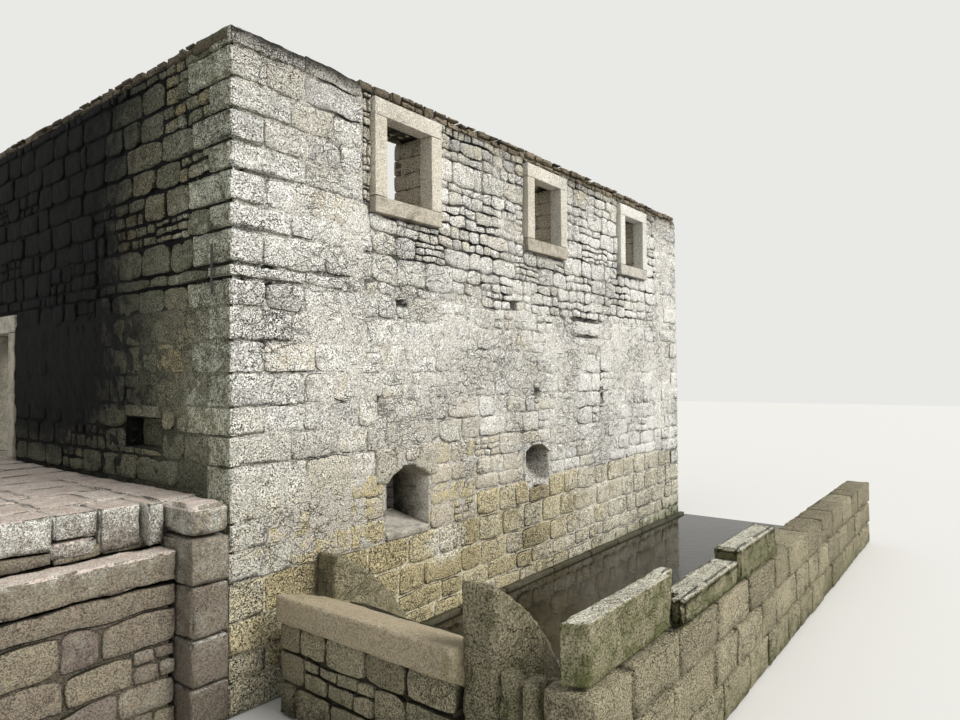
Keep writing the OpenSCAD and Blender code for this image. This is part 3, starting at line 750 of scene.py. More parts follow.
def front_paint(u, v, depth):
    """Limewash on the weathered face, dark soil under the head, algae at the foot."""
    wash = 0.5 + 0.12 * plastered(u, v) + min(0.1, over(u, 4.5) * 0.05)
    if v < 2.5 and u > 5.5:
        wash += min(0.1, (u - 5.5) * 0.05)
    soil_and_shade = max(0.0, (v - 5.4) / 0.25) * 0.5 + max(0.0, (v - 5.53) / 0.1) * 0.35
    damp = 0.0
    if v < 2.6:
        wash -= min(0.32, (2.6 - v) * 0.2) * max(0.0, 1 - u / 6.0)
    if u < 1.2 and v > 4.6:
        wash -= 0.1
    if u < 3.3:
        wash -= 0.3 * clamp((1.75 - v) / 0.35)
    if yellow_zone(u, v):
        wash += inside(u, v, (2.7, 0.9, 0.5, 0.3, 0.8)) - 0.04
        damp += over(0.5, v) * 0.9 + over(u, 5.0) * over(0.8, v) * 0.16
    if v > 5.2:
        wash -= (v - 5.2) * 0.7
    return wash, soil_and_shade, damp


def front_mortar(u, v, wave):
    """How far the mortar stands back from the face of the front wall."""
    plaster = plastered(u, v)
    hole = max([0.0] + [1 - ((u - a) / (c * 1.6)) ** 2 - ((v - b) / (d * 1.6)) ** 2 for a, b, c, d in HOLES])
    open_joint = clamp(0.5 + 1.8 * noise.noise(Vector((u * 0.9, v * 1.3, 3.7))))
    if yellow_zone(u, v):
        return max(0.002, 0.031 + wave * 0.01)
    if v > 3.45 and u < 1.3:
        back = 0.03 + 0.016 * open_joint
    elif u < 1.5:
        back = 0.017 + 0.016 * open_joint
    elif u > LONG - 0.95:
        back = 0.012 + 0.012 * open_joint
    elif v > 3.6:
        back = 0.042 + 0.02 * open_joint
    elif v > 3.3:
        back = 0.03 + 0.02 * open_joint
    else:
        back = 0.022 + 0.016 * open_joint
    back = back * (1 - plaster) + 0.006 * plaster
    return max(0.002, back + wave * 0.016 + hole * 0.1)


def plain_mortar(u, v, wave):
    """How far the mortar stands back where the wall isn't seen in the photograph."""
    return max(0.002, 0.03 + wave * 0.02)


def corner_lengths(k):
    """Lengths of corner stone k on the two faces: long and short in turn, the tall one over two courses."""
    return ((0.62, 0.34), (0.36, 0.68), (0.78, 0.36), (0.34, 0.6))[(TALL if k == TALL + 1 else k) % 4]


def front_wall():
    """Plinth, coursed rubble, the window band in layers, and the mortar body behind them."""
    ends = lambda k: (corner_lengths(k)[0], LONG - corner_lengths(k + 1)[0])
    windows = [grow(rect, 0.012) for rect in WINDOWS]
    # A column of small brown stones stands along the first window's near jamb
    jamb = (WINDOWS[0][0] - 0.1, WINDOWS[0][0] + 0.01, WINDOWS[0][2] + 0.1, HEAD_FROM)
    shafts = [(a - 0.015, b + 0.015, c, 1.84) for a, b, c, d in SHAFTS]
    gaps = [(a - c, a + c, b - d, b + d) for a, b, c, d in HOLES]
    squared = {"step": 0.045, "paint": front_paint, "bend": front_bend}
    coursed = {"step": 0.04, "paint": front_paint, "bend": front_bend, "rough": 0.011, "jag": 0.010}
    layered = {"step": 0.045, "paint": front_paint, "bend": front_bend, "rough": 0.009, "jag": 0.010}
    plinth = new_part()
    lay_field(plinth, FRONT, ends, LEVELS[:5], [], front_look, 11, **squared)
    lay_field(plinth, FRONT, always(*UPPER_PLINTH[:2]), UPPER_PLINTH[2:], [(4.36, 4.89, 1.27, 1.84)],
              always(0.1, 0.4, 0.013, 0.024), 14, **squared)
    finish_piece("plinth_stones", plinth, [YELLOW], "plinth_ashlar", "front_wall_base")
    lower = new_part()
    taken = windows + shafts + gaps + [UPPER_PLINTH, TALL_BLOCK]
    lay_field(lower, FRONT, lambda k: ends(k + 4), LEVELS[4:17], taken, front_look, 12,
              tints=front_tint, **coursed)
    lay_field(lower, FRONT, always(*TALL_BLOCK[:2]), TALL_BLOCK[2:], [], always(0, 0.9, 0.012, 0.01), 17,
              tints=lambda cell, tint: 0.5, **coursed)
    finish_piece("front_stones_lower", lower, [LIMEWASHED], "limewashed_rubble", "front_wall_lower")
    upper = new_part()
    # The head's first course is higher over the near corner
    near = (0.0, 1.47, 5.5, HEAD_FROM)
    lay_field(upper, FRONT, always(corner_lengths(22)[0], 1.465), [5.5, 5.675], [], front_look, 16,
              tints=front_tint, **layered)
    taken = windows + [near, jamb]
    lay_field(upper, FRONT, lambda k: ends(k + 16), LEVELS[16:] + [HEAD_FROM], taken, front_look, 13,
              tints=front_tint, **layered)
    rows = [jamb[2] + (jamb[3] - jamb[2]) * (i + 0.35 * math.sin(i * 2.4)) / 12 for i in range(13)]
    lay_field(upper, FRONT, always(*jamb[:2]), rows, [], always(0, 0.08, 0.02, 0.01), 15, step=0.03,
              paint=always(0.3, 0.1, 0.0), tints=lambda cell, tint: 0.3 + 0.6 * tint, jag=0.012, rough=0.012)
    finish_piece("front_stones_upper", upper, [LIMEWASHED], "limewashed_rubble", "front_wall_upper")
    core = new_part()
    holes = [grow(rect, -0.1, -0.1, -0.12) for rect in WINDOWS] + [grow(rect, -0.004, 0, 0) for rect in SHAFTS]
    lay_core(core, FRONT, LONG, FOOT, HEAD_FROM + 0.02, WALL, holes, 0.046, front_mortar, plain_mortar,
             paint=mortar_paint, tints=lambda u, v: 1.0 if yellow_zone(u, v) else 0.4, ends=0.06)
    finish_piece("front_mortar", core, [MORTAR], "limewashed_rubble")


def mortar_paint(u, v, depth):
    """Like the stones around it, and black where it has washed out deeply: soil and painted shade, darker the
    deeper the joint or hole.
    """
    wash, soil_and_shade, damp = front_paint(u, v, depth)
    if yellow_zone(u, v):
        return wash - 0.1 * min(1.0, v), soil_and_shade + clamp((depth - 0.034) / 0.02) * 0.5, damp
    return wash, soil_and_shade + clamp((depth - 0.022) / 0.03) * 0.7, damp


def corner_stones():
    """Long and short squared blocks that bind two walls at each corner."""
    heap = new_part()
    rnd = random.Random(5)
    for k, (v0, v1) in enumerate(zip(LEVELS, LEVELS[1:] + [HEAD_FROM])):
        a, b = corner_lengths(k)
        if k != TALL + 1:
            top = 5.67 if v1 == HEAD_FROM else LEVELS[k + 2] if k == TALL else v1
            lay_corner(heap, rnd, (0, 0), (a, b), v0, top, 0.035)
        a, b = corner_lengths(k + 1)
        lay_corner(heap, rnd, (LONG - a, 0), (LONG, b), v0, v1, 0.06)
        lay_corner(heap, rnd, (0, DEEP - b), (a, DEEP), v0, v1, 0.12)
        lay_corner(heap, rnd, (LONG - a, DEEP - b), (LONG, DEEP), v0, v1, 0.14)
    finish_piece("corner_stones", heap, [QUOINS, DARK, YELLOW], "limewashed_rubble")


def lay_corner(heap, rnd, low, high, v0, v1, step):
    """One corner stone: limewashed in front, yellow in the plinth, dark on the other faces."""
    front = low[1] < 0.5
    slots = lambda n: (2 if v1 < 1.1 else 0) if front and n.y < -0.6 else 1
    inset = rnd.uniform(0.0, 0.008)
    bias = rnd.uniform(-0.06, 0.06)

    def paint(p, normal):
        if normal.y < -0.3 and front:
            wash, soil_and_shade, damp = front_paint(p.x, p.z, 0)
            return wash + bias, soil_and_shade, damp
        return (0.5, 0.0, 0.1) if low[0] < 1 and low[1] < 1 else (0.16, 0.25, 0.15)

    open_joints = v0 > 3.3
    gap = 0.009 if open_joints else 0.003
    tint = rnd.uniform(0.0, 0.75) if v0 > 2.4 else rnd.uniform(0.75, 1.0)
    block(heap, (low[0] + inset, low[1] + inset, v0 + gap), (high[0] - 0.005, high[1] - 0.005, v1 - gap),
          step=step, edge=0.02 if open_joints else 0.010, rough=0.011, chips=0.025, tint=tint, paint=paint,
          slots=slots)


def box_on(turn, u0, u1, v0, v1, d0, d1):
    """The two corners of a box given on a wall face, counted from the near front corner."""
    ends = [turn @ Vector((u0, v0, d0)), turn @ Vector((u1, v1, d1))]
    low = Vector([min(ends[0][k], ends[1][k]) for k in range(3)])
    high = Vector([max(ends[0][k], ends[1][k]) for k in range(3)])
    return low - SHIFT, high - SHIFT


def head_line(turn, u, top):
    """The broken head falls by 85 mm towards the near corner of the front wall."""
    return top - (max(0.0, 0.085 - 0.0173 * u) if turn == FRONT else 0.0)


def head_stones(heap, rnd, turn, u0, u1, top, step):
    """The broken wall head: an earthy crown with small stones lying loose in it."""
    low = HEAD_FROM
    part = new_part()
    layer = part.verts.layers.float
    marks = spaced(u0, u1, 0.02, max(step, 0.08))
    across = spaced(0.06, WALL - 0.02, 0.02, max(step, 0.08))
    made = bmesh.ops.create_grid(part, x_segments=len(marks) - 1, y_segments=len(across) - 1, size=0.5)["verts"]
    for vert in made:
        u = marks[round((vert.co.x + 0.5) * (len(marks) - 1))]
        d = across[round((vert.co.y + 0.5) * (len(across) - 1))]
        hump = 1 - (2 * d / WALL - 1) ** 4
        spot = turn @ Vector((u, 0, d))
        rise = 0.5 + 0.5 * noise.fractal(spot * 2.6, 0.8, 2.1, 4)
        tall = head_line(turn, u, top) - low - 0.02
        vert.co = (u, low - 0.01 + hump * tall * min(1.0, max(0.1, 0.25 + rise)), d)
        vert[layer["soil_and_shade"]], vert[layer["damp"]], vert[layer["tint"]] = 0.5, 0.45, 0.3
    for vert in thicken(part):
        vert.co.y = low - 0.05
    part.transform(turn)
    bmesh.ops.recalc_face_normals(part, faces=part.faces)
    pour(heap, part)
    for d0, d1, share in ((0.012, 0.2, 0.99), (0.22, 0.4, 0.5), (0.42, 0.585, 0.95)):
        for u, end in walk(rnd, u0, u1, 0.1, 0.3, 0.12):
            lift = 0.5 + 0.5 * noise.noise(Vector((u * 1.1, d0 * 30, top)))
            z = low - 0.01
            crown = head_line(turn, u, top) - 0.004 - (1 - lift) * 0.03
            if turn == FRONT and d0 < 0.1 and end < 1.46:
                z = crown
            while rnd.random() < share and z < crown - 0.03:
                tall = min(rnd.uniform(0.05, 0.11), crown - z)
                tall = crown - z if crown - z - tall < 0.035 else tall
                left, right = u + rnd.uniform(0.0, 0.012), end - rnd.uniform(0.0, 0.012)
                near, far = d0 + rnd.uniform(0.0, 0.02), d1 - rnd.uniform(0.0, 0.05)
                a, b = box_on(turn, left, right, z + 0.001, z + tall, near, far)
                block(heap, a, b, step=step, edge=0.022, rough=0.02, chips=0.03, tint=rnd.random(),
                      paint=head_paint, size=14.0)
                z += tall + 0.002


def head_paint(p, n):
    """Bare brown stone, dark with earth on top, and nearly black over the left wall as painted shade."""
    shade = 0.4 if p.x < 0.6 and p.y > 0.3 else 0.0
    return 0.0, (0.12 if n.z < 0.5 else 0.3) + shade, 0.15


def reveal(heap, turn, rect, d0, d1, seed, step=0.08, paint=None, small=0.22):
    """Stones on the sides of an opening, from depth d0 to d1 inside the wall."""
    u0, u1, v0, v1 = rect
    origin = turn @ Vector((0, 0, 0))
    along = (turn @ Vector((1, 0, 0))) - origin
    inward = (turn @ Vector((0, 0, 1))) - origin
    tall = max(2, round((v1 - v0) / 0.2))
    levels = [v0 + (v1 - v0) * i / tall for i in range(tall + 1)]
    deep = max(1, round((d1 - d0) / 0.26))
    rows = [d0 + (d1 - d0) * i / deep for i in range(deep + 1)]
    faces = ((plane(turn @ Vector((u0, 0, 0)), inward, AXIS_Z, -along), (d0, d1), levels),
             (plane(turn @ Vector((u1, 0, 0)), inward, AXIS_Z, along), (d0, d1), levels),
             (plane(turn @ Vector((0, v0, 0)), along, inward, -AXIS_Z), (u0, u1), rows),
             (plane(turn @ Vector((0, v1, 0)), along, inward, AXIS_Z), (u0, u1), rows))
    # Unless a paint is given, the stones are painted pale and clean of soil: a painted light on reveals that
    # lie in shade
    for side, ends, steps in faces:
        lay_field(heap, side, always(*ends), steps, [], always(0.35, small, 0.008, 0.004), seed, step=step,
                  sway=0.004, jag=0.005, paint=paint or always(1.2, -0.5, 0.0))


def outline_block(heap, turn, points, d0, d1, step=0.05, edge=0.014, rough=0.008, tint=0.5, paint=None,
                  size=9.0):
    """A worn stone with the given outline on a face, from depth d0 to d1."""
    part = new_part()
    layer = part.verts.layers.float
    part.faces.new([part.verts.new((u, v, d0)) for u, v in points])
    for vert in thicken(part):
        vert.co.z = d1
    bmesh.ops.recalc_face_normals(part, faces=part.faces)
    sharp = [e for e in part.edges if e.calc_face_angle(0) > 0.6]
    bmesh.ops.bevel(part, geom=sharp, offset=edge, segments=2, profile=0.5, affect="EDGES", material=-1,
                    clamp_overlap=True)
    for k in range(3):
        values = [v.co[k] for v in part.verts]
        first, last = min(values), max(values)
        count = round((last - first) / step)
        side = (AXIS_X, AXIS_Y, AXIS_Z)[k]
        for i in range(1, count):
            cut_through(part, side * (first + (last - first) * i / count), side)
    part.transform(turn)
    bmesh.ops.recalc_face_normals(part, faces=part.faces)
    part.normal_update()
    moved = []
    for vert in part.verts:
        moved.append(vert.co - vert.normal * rough * bumps(vert.co, size) * 1.4)
        vert[layer["tint"]] = tint
        if paint:
            found = paint(vert.co - SHIFT, vert.normal)
            vert[layer["wash"]], vert[layer["soil_and_shade"]], vert[layer["damp"]] = found
    for vert, spot in zip(part.verts, moved):
        vert.co = (spot.x, spot.y, max(spot.z, 0.002))
    pour(heap, part)


# Window and door frames
def frame_paint(p, n):
    """Clean faces, paler along the front wall; sills darker with soil and painted shade, and downward faces
    under the lintels and sills darkened as painted shade.
    """
    sill = p.z < WINDOWS[0][2] + 0.17
    pale = 0.3 * min(2.0, over(p.x, 3.0) / 2) if p.y < 1 else 0.0
    return 0.12 + pale - 0.2 * sill, (0.12 if n.z < -0.5 else 0.0) + 0.42 * sill, 0.05


def window_frames():
    """Sill, two jambs and lintel of each window; the rear ones in one piece."""
    for i in (1, 2, 3):
        heap = new_part()
        nodes = [f"window_{i}_{part}" for part in ("sill", "jamb_near", "jamb_far", "lintel")]
        for k, node in enumerate(nodes):
            low, high = local_box(node)
            gap = Vector((0, 0, 0.002)) if "jamb" in node else Vector((0.002, 0, 0))
            block(heap, low + gap, high - gap, step=0.05, edge=0.005, rough=0.002, chips=0.012,
                  tint=0.3 + 0.2 * k, paint=frame_paint)
        finish_piece(f"window_{i}_frame", heap, [DRESSED], "dressed_sandstone", *nodes, crisp=True)
    heap = new_part()
    u0, u1, v0, v1 = WINDOWS[0]
    half, wide = (u1 - u0) / 2, 0.17
    bottom, foot, head, top = REAR_SILL, REAR_SILL + 0.166, REAR_SILL + 0.986, REAR_SILL + (v1 - v0)
    for turn, centres in ((BACK, BACK_CENTRES), (RIGHT, RIGHT_CENTRES)):
        for left, right in [(centre - half, centre + half) for centre in centres]:
            for rect in ((left, right, bottom, foot), (left, left + wide, foot, head),
                         (right - wide, right, foot, head), (left, right, head, top)):
                low, high = box_on(turn, *rect, -0.04, 0.14)
                block(heap, low, high, step=0.09, edge=0.008, rough=0.003, chips=0.008, paint=frame_paint)
    finish_piece("rear_window_frames", heap, [DRESSED], "dressed_sandstone",
                 "rear_window_sills", "rear_window_jambs", "rear_window_lintels", crisp=True)


def door_frame():
    """Threshold, two jambs and lintel of the doorway."""
    heap = new_part()
    nodes = ["door_threshold", "door_jamb_near", "door_jamb_far", "door_lintel"]
    for k, node in enumerate(nodes):
        block(heap, *local_box(node), step=0.07, edge=0.012, rough=0.005, chips=0.012, tint=0.2 + 0.2 * k,
              paint=always(-0.2, 0.42, 0.2))
    finish_piece("door_frame", heap, [DRESSED], "dressed_sandstone", *nodes, crisp=True)


def window_reveals():
    """The sides of the windows and of the doorway behind their frames."""
    heap = new_part()
    for n, rect in enumerate(WINDOWS):
        reveal(heap, FRONT, grow(rect, *CLEAR), 0.14, WALL, 40 + n)
    rear = [(BACK, centre) for centre in BACK_CENTRES] + [(RIGHT, centre) for centre in RIGHT_CENTRES]
    for n, (turn, centre) in enumerate(rear):
        reveal(heap, turn, rear_rect(centre, True), 0.14, WALL, 50 + n, step=0.12)
    reveal(heap, LEFT, grow(DOOR, -0.19, 0, -0.11), 0.3, WALL, 60)
    finish_piece("opening_reveals", heap, [INSIDE], "shaded_rubble")


def shaft_arch(centre):
    """Outline points of the low arch, from its left spring to its right spring."""
    rise, spring = 0.14, 1.67
    radius = (SHAFT_HALF * SHAFT_HALF + rise * rise) / (2 * rise)
    sweep = math.asin(SHAFT_HALF / radius)
    return [(centre + radius * math.sin(a), spring + rise - radius + radius * math.cos(a))
            for a in [-sweep + 2 * sweep * i / 12 for i in range(13)]]


def shaft_openings():
    """Jamb stones and arches of both shaft openings, the sill slab of one and the rubble fill of the other."""
    heap = new_part()
    rnd = random.Random(21)
    # Faces that don't face out are soiled and darker the deeper they lie in the wall, a painted shade inside
    # the openings
    paint = lambda p, n: front_paint(p.x, p.z, 0) if n.y < -0.3 else (0.0, 0.25 + 0.9 * over(p.y, 0.1), 0.1)
    jamb, spring, crown = 0.13, 1.675, 1.995
    for centre in SHAFT_CENTRES:
        left, right = centre - SHAFT_HALF, centre + SHAFT_HALF
        for z0, z1 in ((1.075, 1.32), (1.32, 1.55), (1.55, 1.67)):
            for a, b in ((left - jamb, left), (right, right + jamb)):
                for d0, d1 in ((0.03, 0.28), (0.28, 0.595)):
                    yellow = 0.95 if a == right and z0 < 1.5 else rnd.random() * 0.8
                    block(heap, (a, d0 + 0.001, z0 + 0.001), (b, d1 - 0.001, z1 - 0.001), step=0.04, edge=0.012,
                          rough=0.012, chips=0.03, tint=yellow, paint=paint, size=12.0)
        arch = shaft_arch(centre)
        outlines = ([(left - jamb, spring)] + arch[:5] + [(centre - 0.16, crown), (left - jamb, crown)],
                    arch[4:9] + [(centre + 0.15, 1.96), (centre - 0.155, 1.96)],
                    arch[8:] + [(right + jamb, spring), (right + jamb, crown), (centre + 0.155, crown)])
        for n, outline in enumerate(outlines):
            for d0, d1 in ((0.012 + 0.004 * n, 0.3), (0.303, 0.595)):
                outline_block(heap, FRONT, outline, d0, d1, step=0.045, edge=0.016, rough=0.022,
                              tint=rnd.uniform(0.1, 0.8), paint=paint, size=13.0)
    finish_piece("shaft_surrounds", heap, [LIMEWASHED], "limewashed_rubble")
    heap = new_part()
    side = plane(at(1.782, 0, 0), AXIS_Y, AXIS_Z, AXIS_X)
    slab = [(0.004, PLINTH_TOP), (WALL, PLINTH_TOP), (WALL, 1.25), (0.004, 1.13)]
    outline_block(heap, side, slab, 0, 0.646, step=0.08, edge=0.01, rough=0.003, tint=1.0,
                  paint=lambda p, n: (0.1, 0.45 if n.z > 0.5 else 0.55, 0.15))
    finish_piece("shaft_sill_slab", heap, [DRESSED], "dressed_sandstone", "shaft_sill", crisp=True)
    # Rubble and mortar fill the second opening from below and lean back as they rise
    heap = new_part()
    low, high = local_box("shaft_infill")
    side = plane(at(low.x + 0.001, 0, 0), AXIS_X, AXIS_Z, AXIS_Y)
    lay_core(heap, side, high.x - low.x - 0.002, 1.073, 1.78, 0.596, [], 0.025, filling, lambda u, v, wave: 0.0,
             paint=filling_paint, tints=lambda u, v: 0.4, ends=0.001)
    finish_piece("shaft_rubble", heap, [MORTAR], "limewashed_rubble", "shaft_infill")


def filling(u, v, wave):
    """How far the fill of the second opening stands back: flush below a slanting edge, deeper above."""
    left = 0.036 + 0.29 * clamp((1.48 - v) / 0.3)
    right = 0.63 - 0.3 * clamp((1.33 - v) / 0.15)
    edge = min(u - left, right - u)
    sunk = clamp(edge / 0.05)
    back = 0.03 + 0.85 * over(v, 1.2) + 0.12 * over(v, 1.45)
    flush = 0.032 if v < 1.34 else 0.012
    return max(0.004, flush + sunk * back + wave * (0.012 + 0.05 * sunk))


def filling_paint(u, v, depth):
    """Limewashed in front, and black deep inside, a painted shade that grows with depth."""
    return 0.55 - 0.5 * depth, over(depth, 0.12) * 1.9, over(depth, 0.1) * 0.5


def dark_look(u, v):
    """Open joints above and below, closed ones with a roughcast skin between."""
    if 2.4 < v < 3.4:
        return 0.1, 0.45, 0.012, 0.007
    if v > 3.4 and u < 2.4:
        return 0.3, 0.5, 0.026, 0.018
    return 0.3, 0.42, 0.022, 0.014


def dark_mortar(u, v, wave):
    """Mortar of the left wall: flush in the middle courses, washed out above and below."""
    return max(0.002, (0.02 if 2.4 < v < 3.4 else 0.05 if v > 3.4 else 0.038) + wave * 0.016)


def dark_paint(u, v, depth):
    """Left wall: black with algae, darkest at its far end, where the darkening is also painted shade, and under
    its head.
    """
    low_part = clamp((v - 1.7) / 0.9)
    soil_and_shade = min(1.3, over(u, 0.5) * 0.48) * (0.3 + 0.7 * low_part) + over(v, 5.3) * 0.4
    return 0.42 - 0.1 * u, soil_and_shade, 0.05 + 0.15 * over(1, low_part)


def left_mortar_paint(u, v, depth):
    """The mortar bed shows as black joints where it has washed out."""
    wash, soil_and_shade, damp = dark_paint(u, v, depth)
    return wash, soil_and_shade + (0.8 if v > 3.4 else 0.45 if v < 2.4 else 0.2), damp


def shade_paint(u, v, depth):
    """Back and right wall: grey-brown, earthy under the head, green at the foot."""
    return 0.16, 0.1 + over(v, 5.3) * 0.5, 0.12 + over(0.9, v) * 0.5


def bare_paint(u, v, depth):
    """Inside faces: darker towards the floor."""
    return 0.0, 0.1 + over(v, 5.3) * 0.5 + over(3.2, v) * 0.35, 0.1


def other_walls():
    """Stones and mortar bodies of the left, back and right wall."""
    beds = LEVELS + [HEAD_FROM]
    shaded = {"rough": 0.012, "jag": 0.008}
    heap = new_part()
    above = [LANDING] + [v for v in beds if v > LANDING + 0.1]
    first = len(beds) - len(above)
    lay_field(heap, LEFT, lambda k: (corner_lengths(k + first)[1], DEEP - corner_lengths(k + first + 1)[1]),
              above, [grow(DOOR, 0.01, DOOR[2]), NICHE], dark_look, 71, paint=dark_paint, **shaded)
    reveal(heap, LEFT, NICHE, 0.06, 0.2, 72, small=0.3, paint=always(0.1, 0.2, 0.1))
    block(heap, *box_on(LEFT, *grow(NICHE, 0.05), 0.2, 0.56), step=0.08, rough=0.015,
          paint=always(0.1, 0.35, 0.2))
    lay_core(heap, LEFT, DEEP, FOOT, HEAD_FROM, WALL, [grow(DOOR, -0.16, 0, -0.08), NICHE], 0.09,
             dark_mortar, plain_mortar, paint=left_mortar_paint, ends=0.05)
    finish_piece("left_wall_stones", heap, [DARK], "shaded_rubble", "left_wall")
    for name, turn, length, centres, face, step in (("back_wall", BACK, LONG, BACK_CENTRES, 0, 0.13),
                                                    ("right_wall", RIGHT, DEEP, RIGHT_CENTRES, 1, 0.10)):
        heap = new_part()
        ends = lambda k, f=face, n=length: (corner_lengths(k + 1)[f], n - corner_lengths(k + 1)[f])
        lay_field(heap, turn, ends, beds, [rear_rect(c) for c in centres], dark_look, 73 + face, step=step,
                  paint=shade_paint, **shaded)
        lay_core(heap, turn, length, FOOT, HEAD_FROM, WALL, [grow(rear_rect(c, True), 0.03) for c in centres],
                 0.16, plain_mortar, plain_mortar, paint=always(0.0, 0.7, 0.1), ends=0.05)
        finish_piece(name + "_stones", heap, [DARK], "shaded_rubble", name)


def inside_faces():
    """Bare rubble on the four walls inside, above the ground floor."""
    beds = [FLOOR] + [v for v in LEVELS + [HEAD_FROM] if v > FLOOR + 0.1]
    shafts = [(c - 0.455, c + 0.455, PLINTH_TOP, 1.995) for c in SHAFT_CENTRES]
    faces = (("front", FRONT_IN, LONG, [grow(rect, *CLEAR) for rect in WINDOWS] + shafts),
             ("back", BACK_IN, LONG, [rear_rect(c, True) for c in BACK_CENTRES]),
             ("left", LEFT_IN, DEEP, [grow(DOOR, -0.19, 0, -0.11)]),
             ("right", RIGHT_IN, DEEP, [rear_rect(c, True) for c in RIGHT_CENTRES]))
    for n, (name, turn, length, holes) in enumerate(faces):
        heap = new_part()
        lay_field(heap, turn, always(WALL, length - WALL), beds, holes, always(0.6, 0.35, 0.020, 0.012), 80 + n,
                  step=0.2, paint=bare_paint, rough=0.012, jag=0.009)
        finish_piece(name + "_wall_inside", heap, [INSIDE], "shaded_rubble")


def wall_heads():
    """The broken heads of all four walls, the end walls between the long ones."""
    heap = new_part()
    rnd = random.Random(33)
    head_stones(heap, rnd, FRONT, 0.0, LONG, HEAD, 0.05)
    head_stones(heap, rnd, BACK, 0.0, LONG, REAR_HEAD, 0.16)
    head_stones(heap, rnd, LEFT, WALL, DEEP - WALL, LEFT_HEAD, 0.09)
    head_stones(heap, rnd, RIGHT, WALL, DEEP - WALL, REAR_HEAD, 0.16)
    finish_piece("wall_head_stones", heap, [HEADSTONE], "shaded_rubble")


def ground_floor():
    """Rough flags over the solid ground floor, silted between the walls."""
    heap = new_part()
    low, high = local_box("stone_floor")
    block(heap, low, (high.x, high.y, FLOOR - 0.03), step=0.5, rough=0.01, paint=always(0, 0.6, 0.2))
    turn = plane(at(0, 0, FLOOR), AXIS_X, AXIS_Y, -AXIS_Z)
    rows = [low.y + (high.y - low.y) * i / 9 for i in range(10)]
    lay_field(heap, turn, always(low.x, high.x), rows, [], always(0.0, 0.8, 0.012, 0.02), 90, step=0.25,
              paint=always(0.0, 0.7, 0.3))
    finish_piece("ground_floor_flags", heap, [TRODDEN], "worn_sandstone", "stone_floor")


# Landing, pier and step
def top_or_side(normal):
    """The first material for tops, the second for faces."""
    return 0 if normal.z > 0.3 else 1


def landing_paint(p, n):
    """Trodden tops stay clean; faces carry pale lichen near the top and go dark lower down."""
    if n.z > 0.55:
        return 0.4, (0.25 if n.z < 0.9 else -0.15) + min(0.5, over(p.y, 1.5) * 0.2), 0.0
    return 0.24 + over(p.z, 1.2) * 0.65, 0.08 + over(1.1, p.z) * 0.3, 0.05 + over(1.0, p.z) * 0.3


# Paving slabs of the landing's near part, as (x0, x1, y0, y1)
PAVING = [(-0.47, -0.335, 0.37, 0.93), (-0.79, -0.47, 0.47, 0.88), (-1.1, -0.79, 0.47, 0.87),
          (-1.6, -1.1, 0.47, 0.82), (-0.335, 0.0, 0.475, 1.05), (-0.62, -0.335, 0.93, 1.5),
          (-1.05, -0.62, 0.88, 1.49), (-1.6, -1.05, 0.82, 1.3), (-0.335, 0.0, 1.05, 1.62),
          (-0.9, -0.335, 1.5, 1.98), (-1.6, -1.05, 1.3, 1.9), (-1.05, -0.9, 1.5, 1.9), (-0.335, 0.0, 1.62, 2.2),
          (-0.9, -0.335, 1.98, 2.5), (-1.6, -0.9, 1.9, 2.5), (-0.335, 0.0, 2.2, 2.5)]


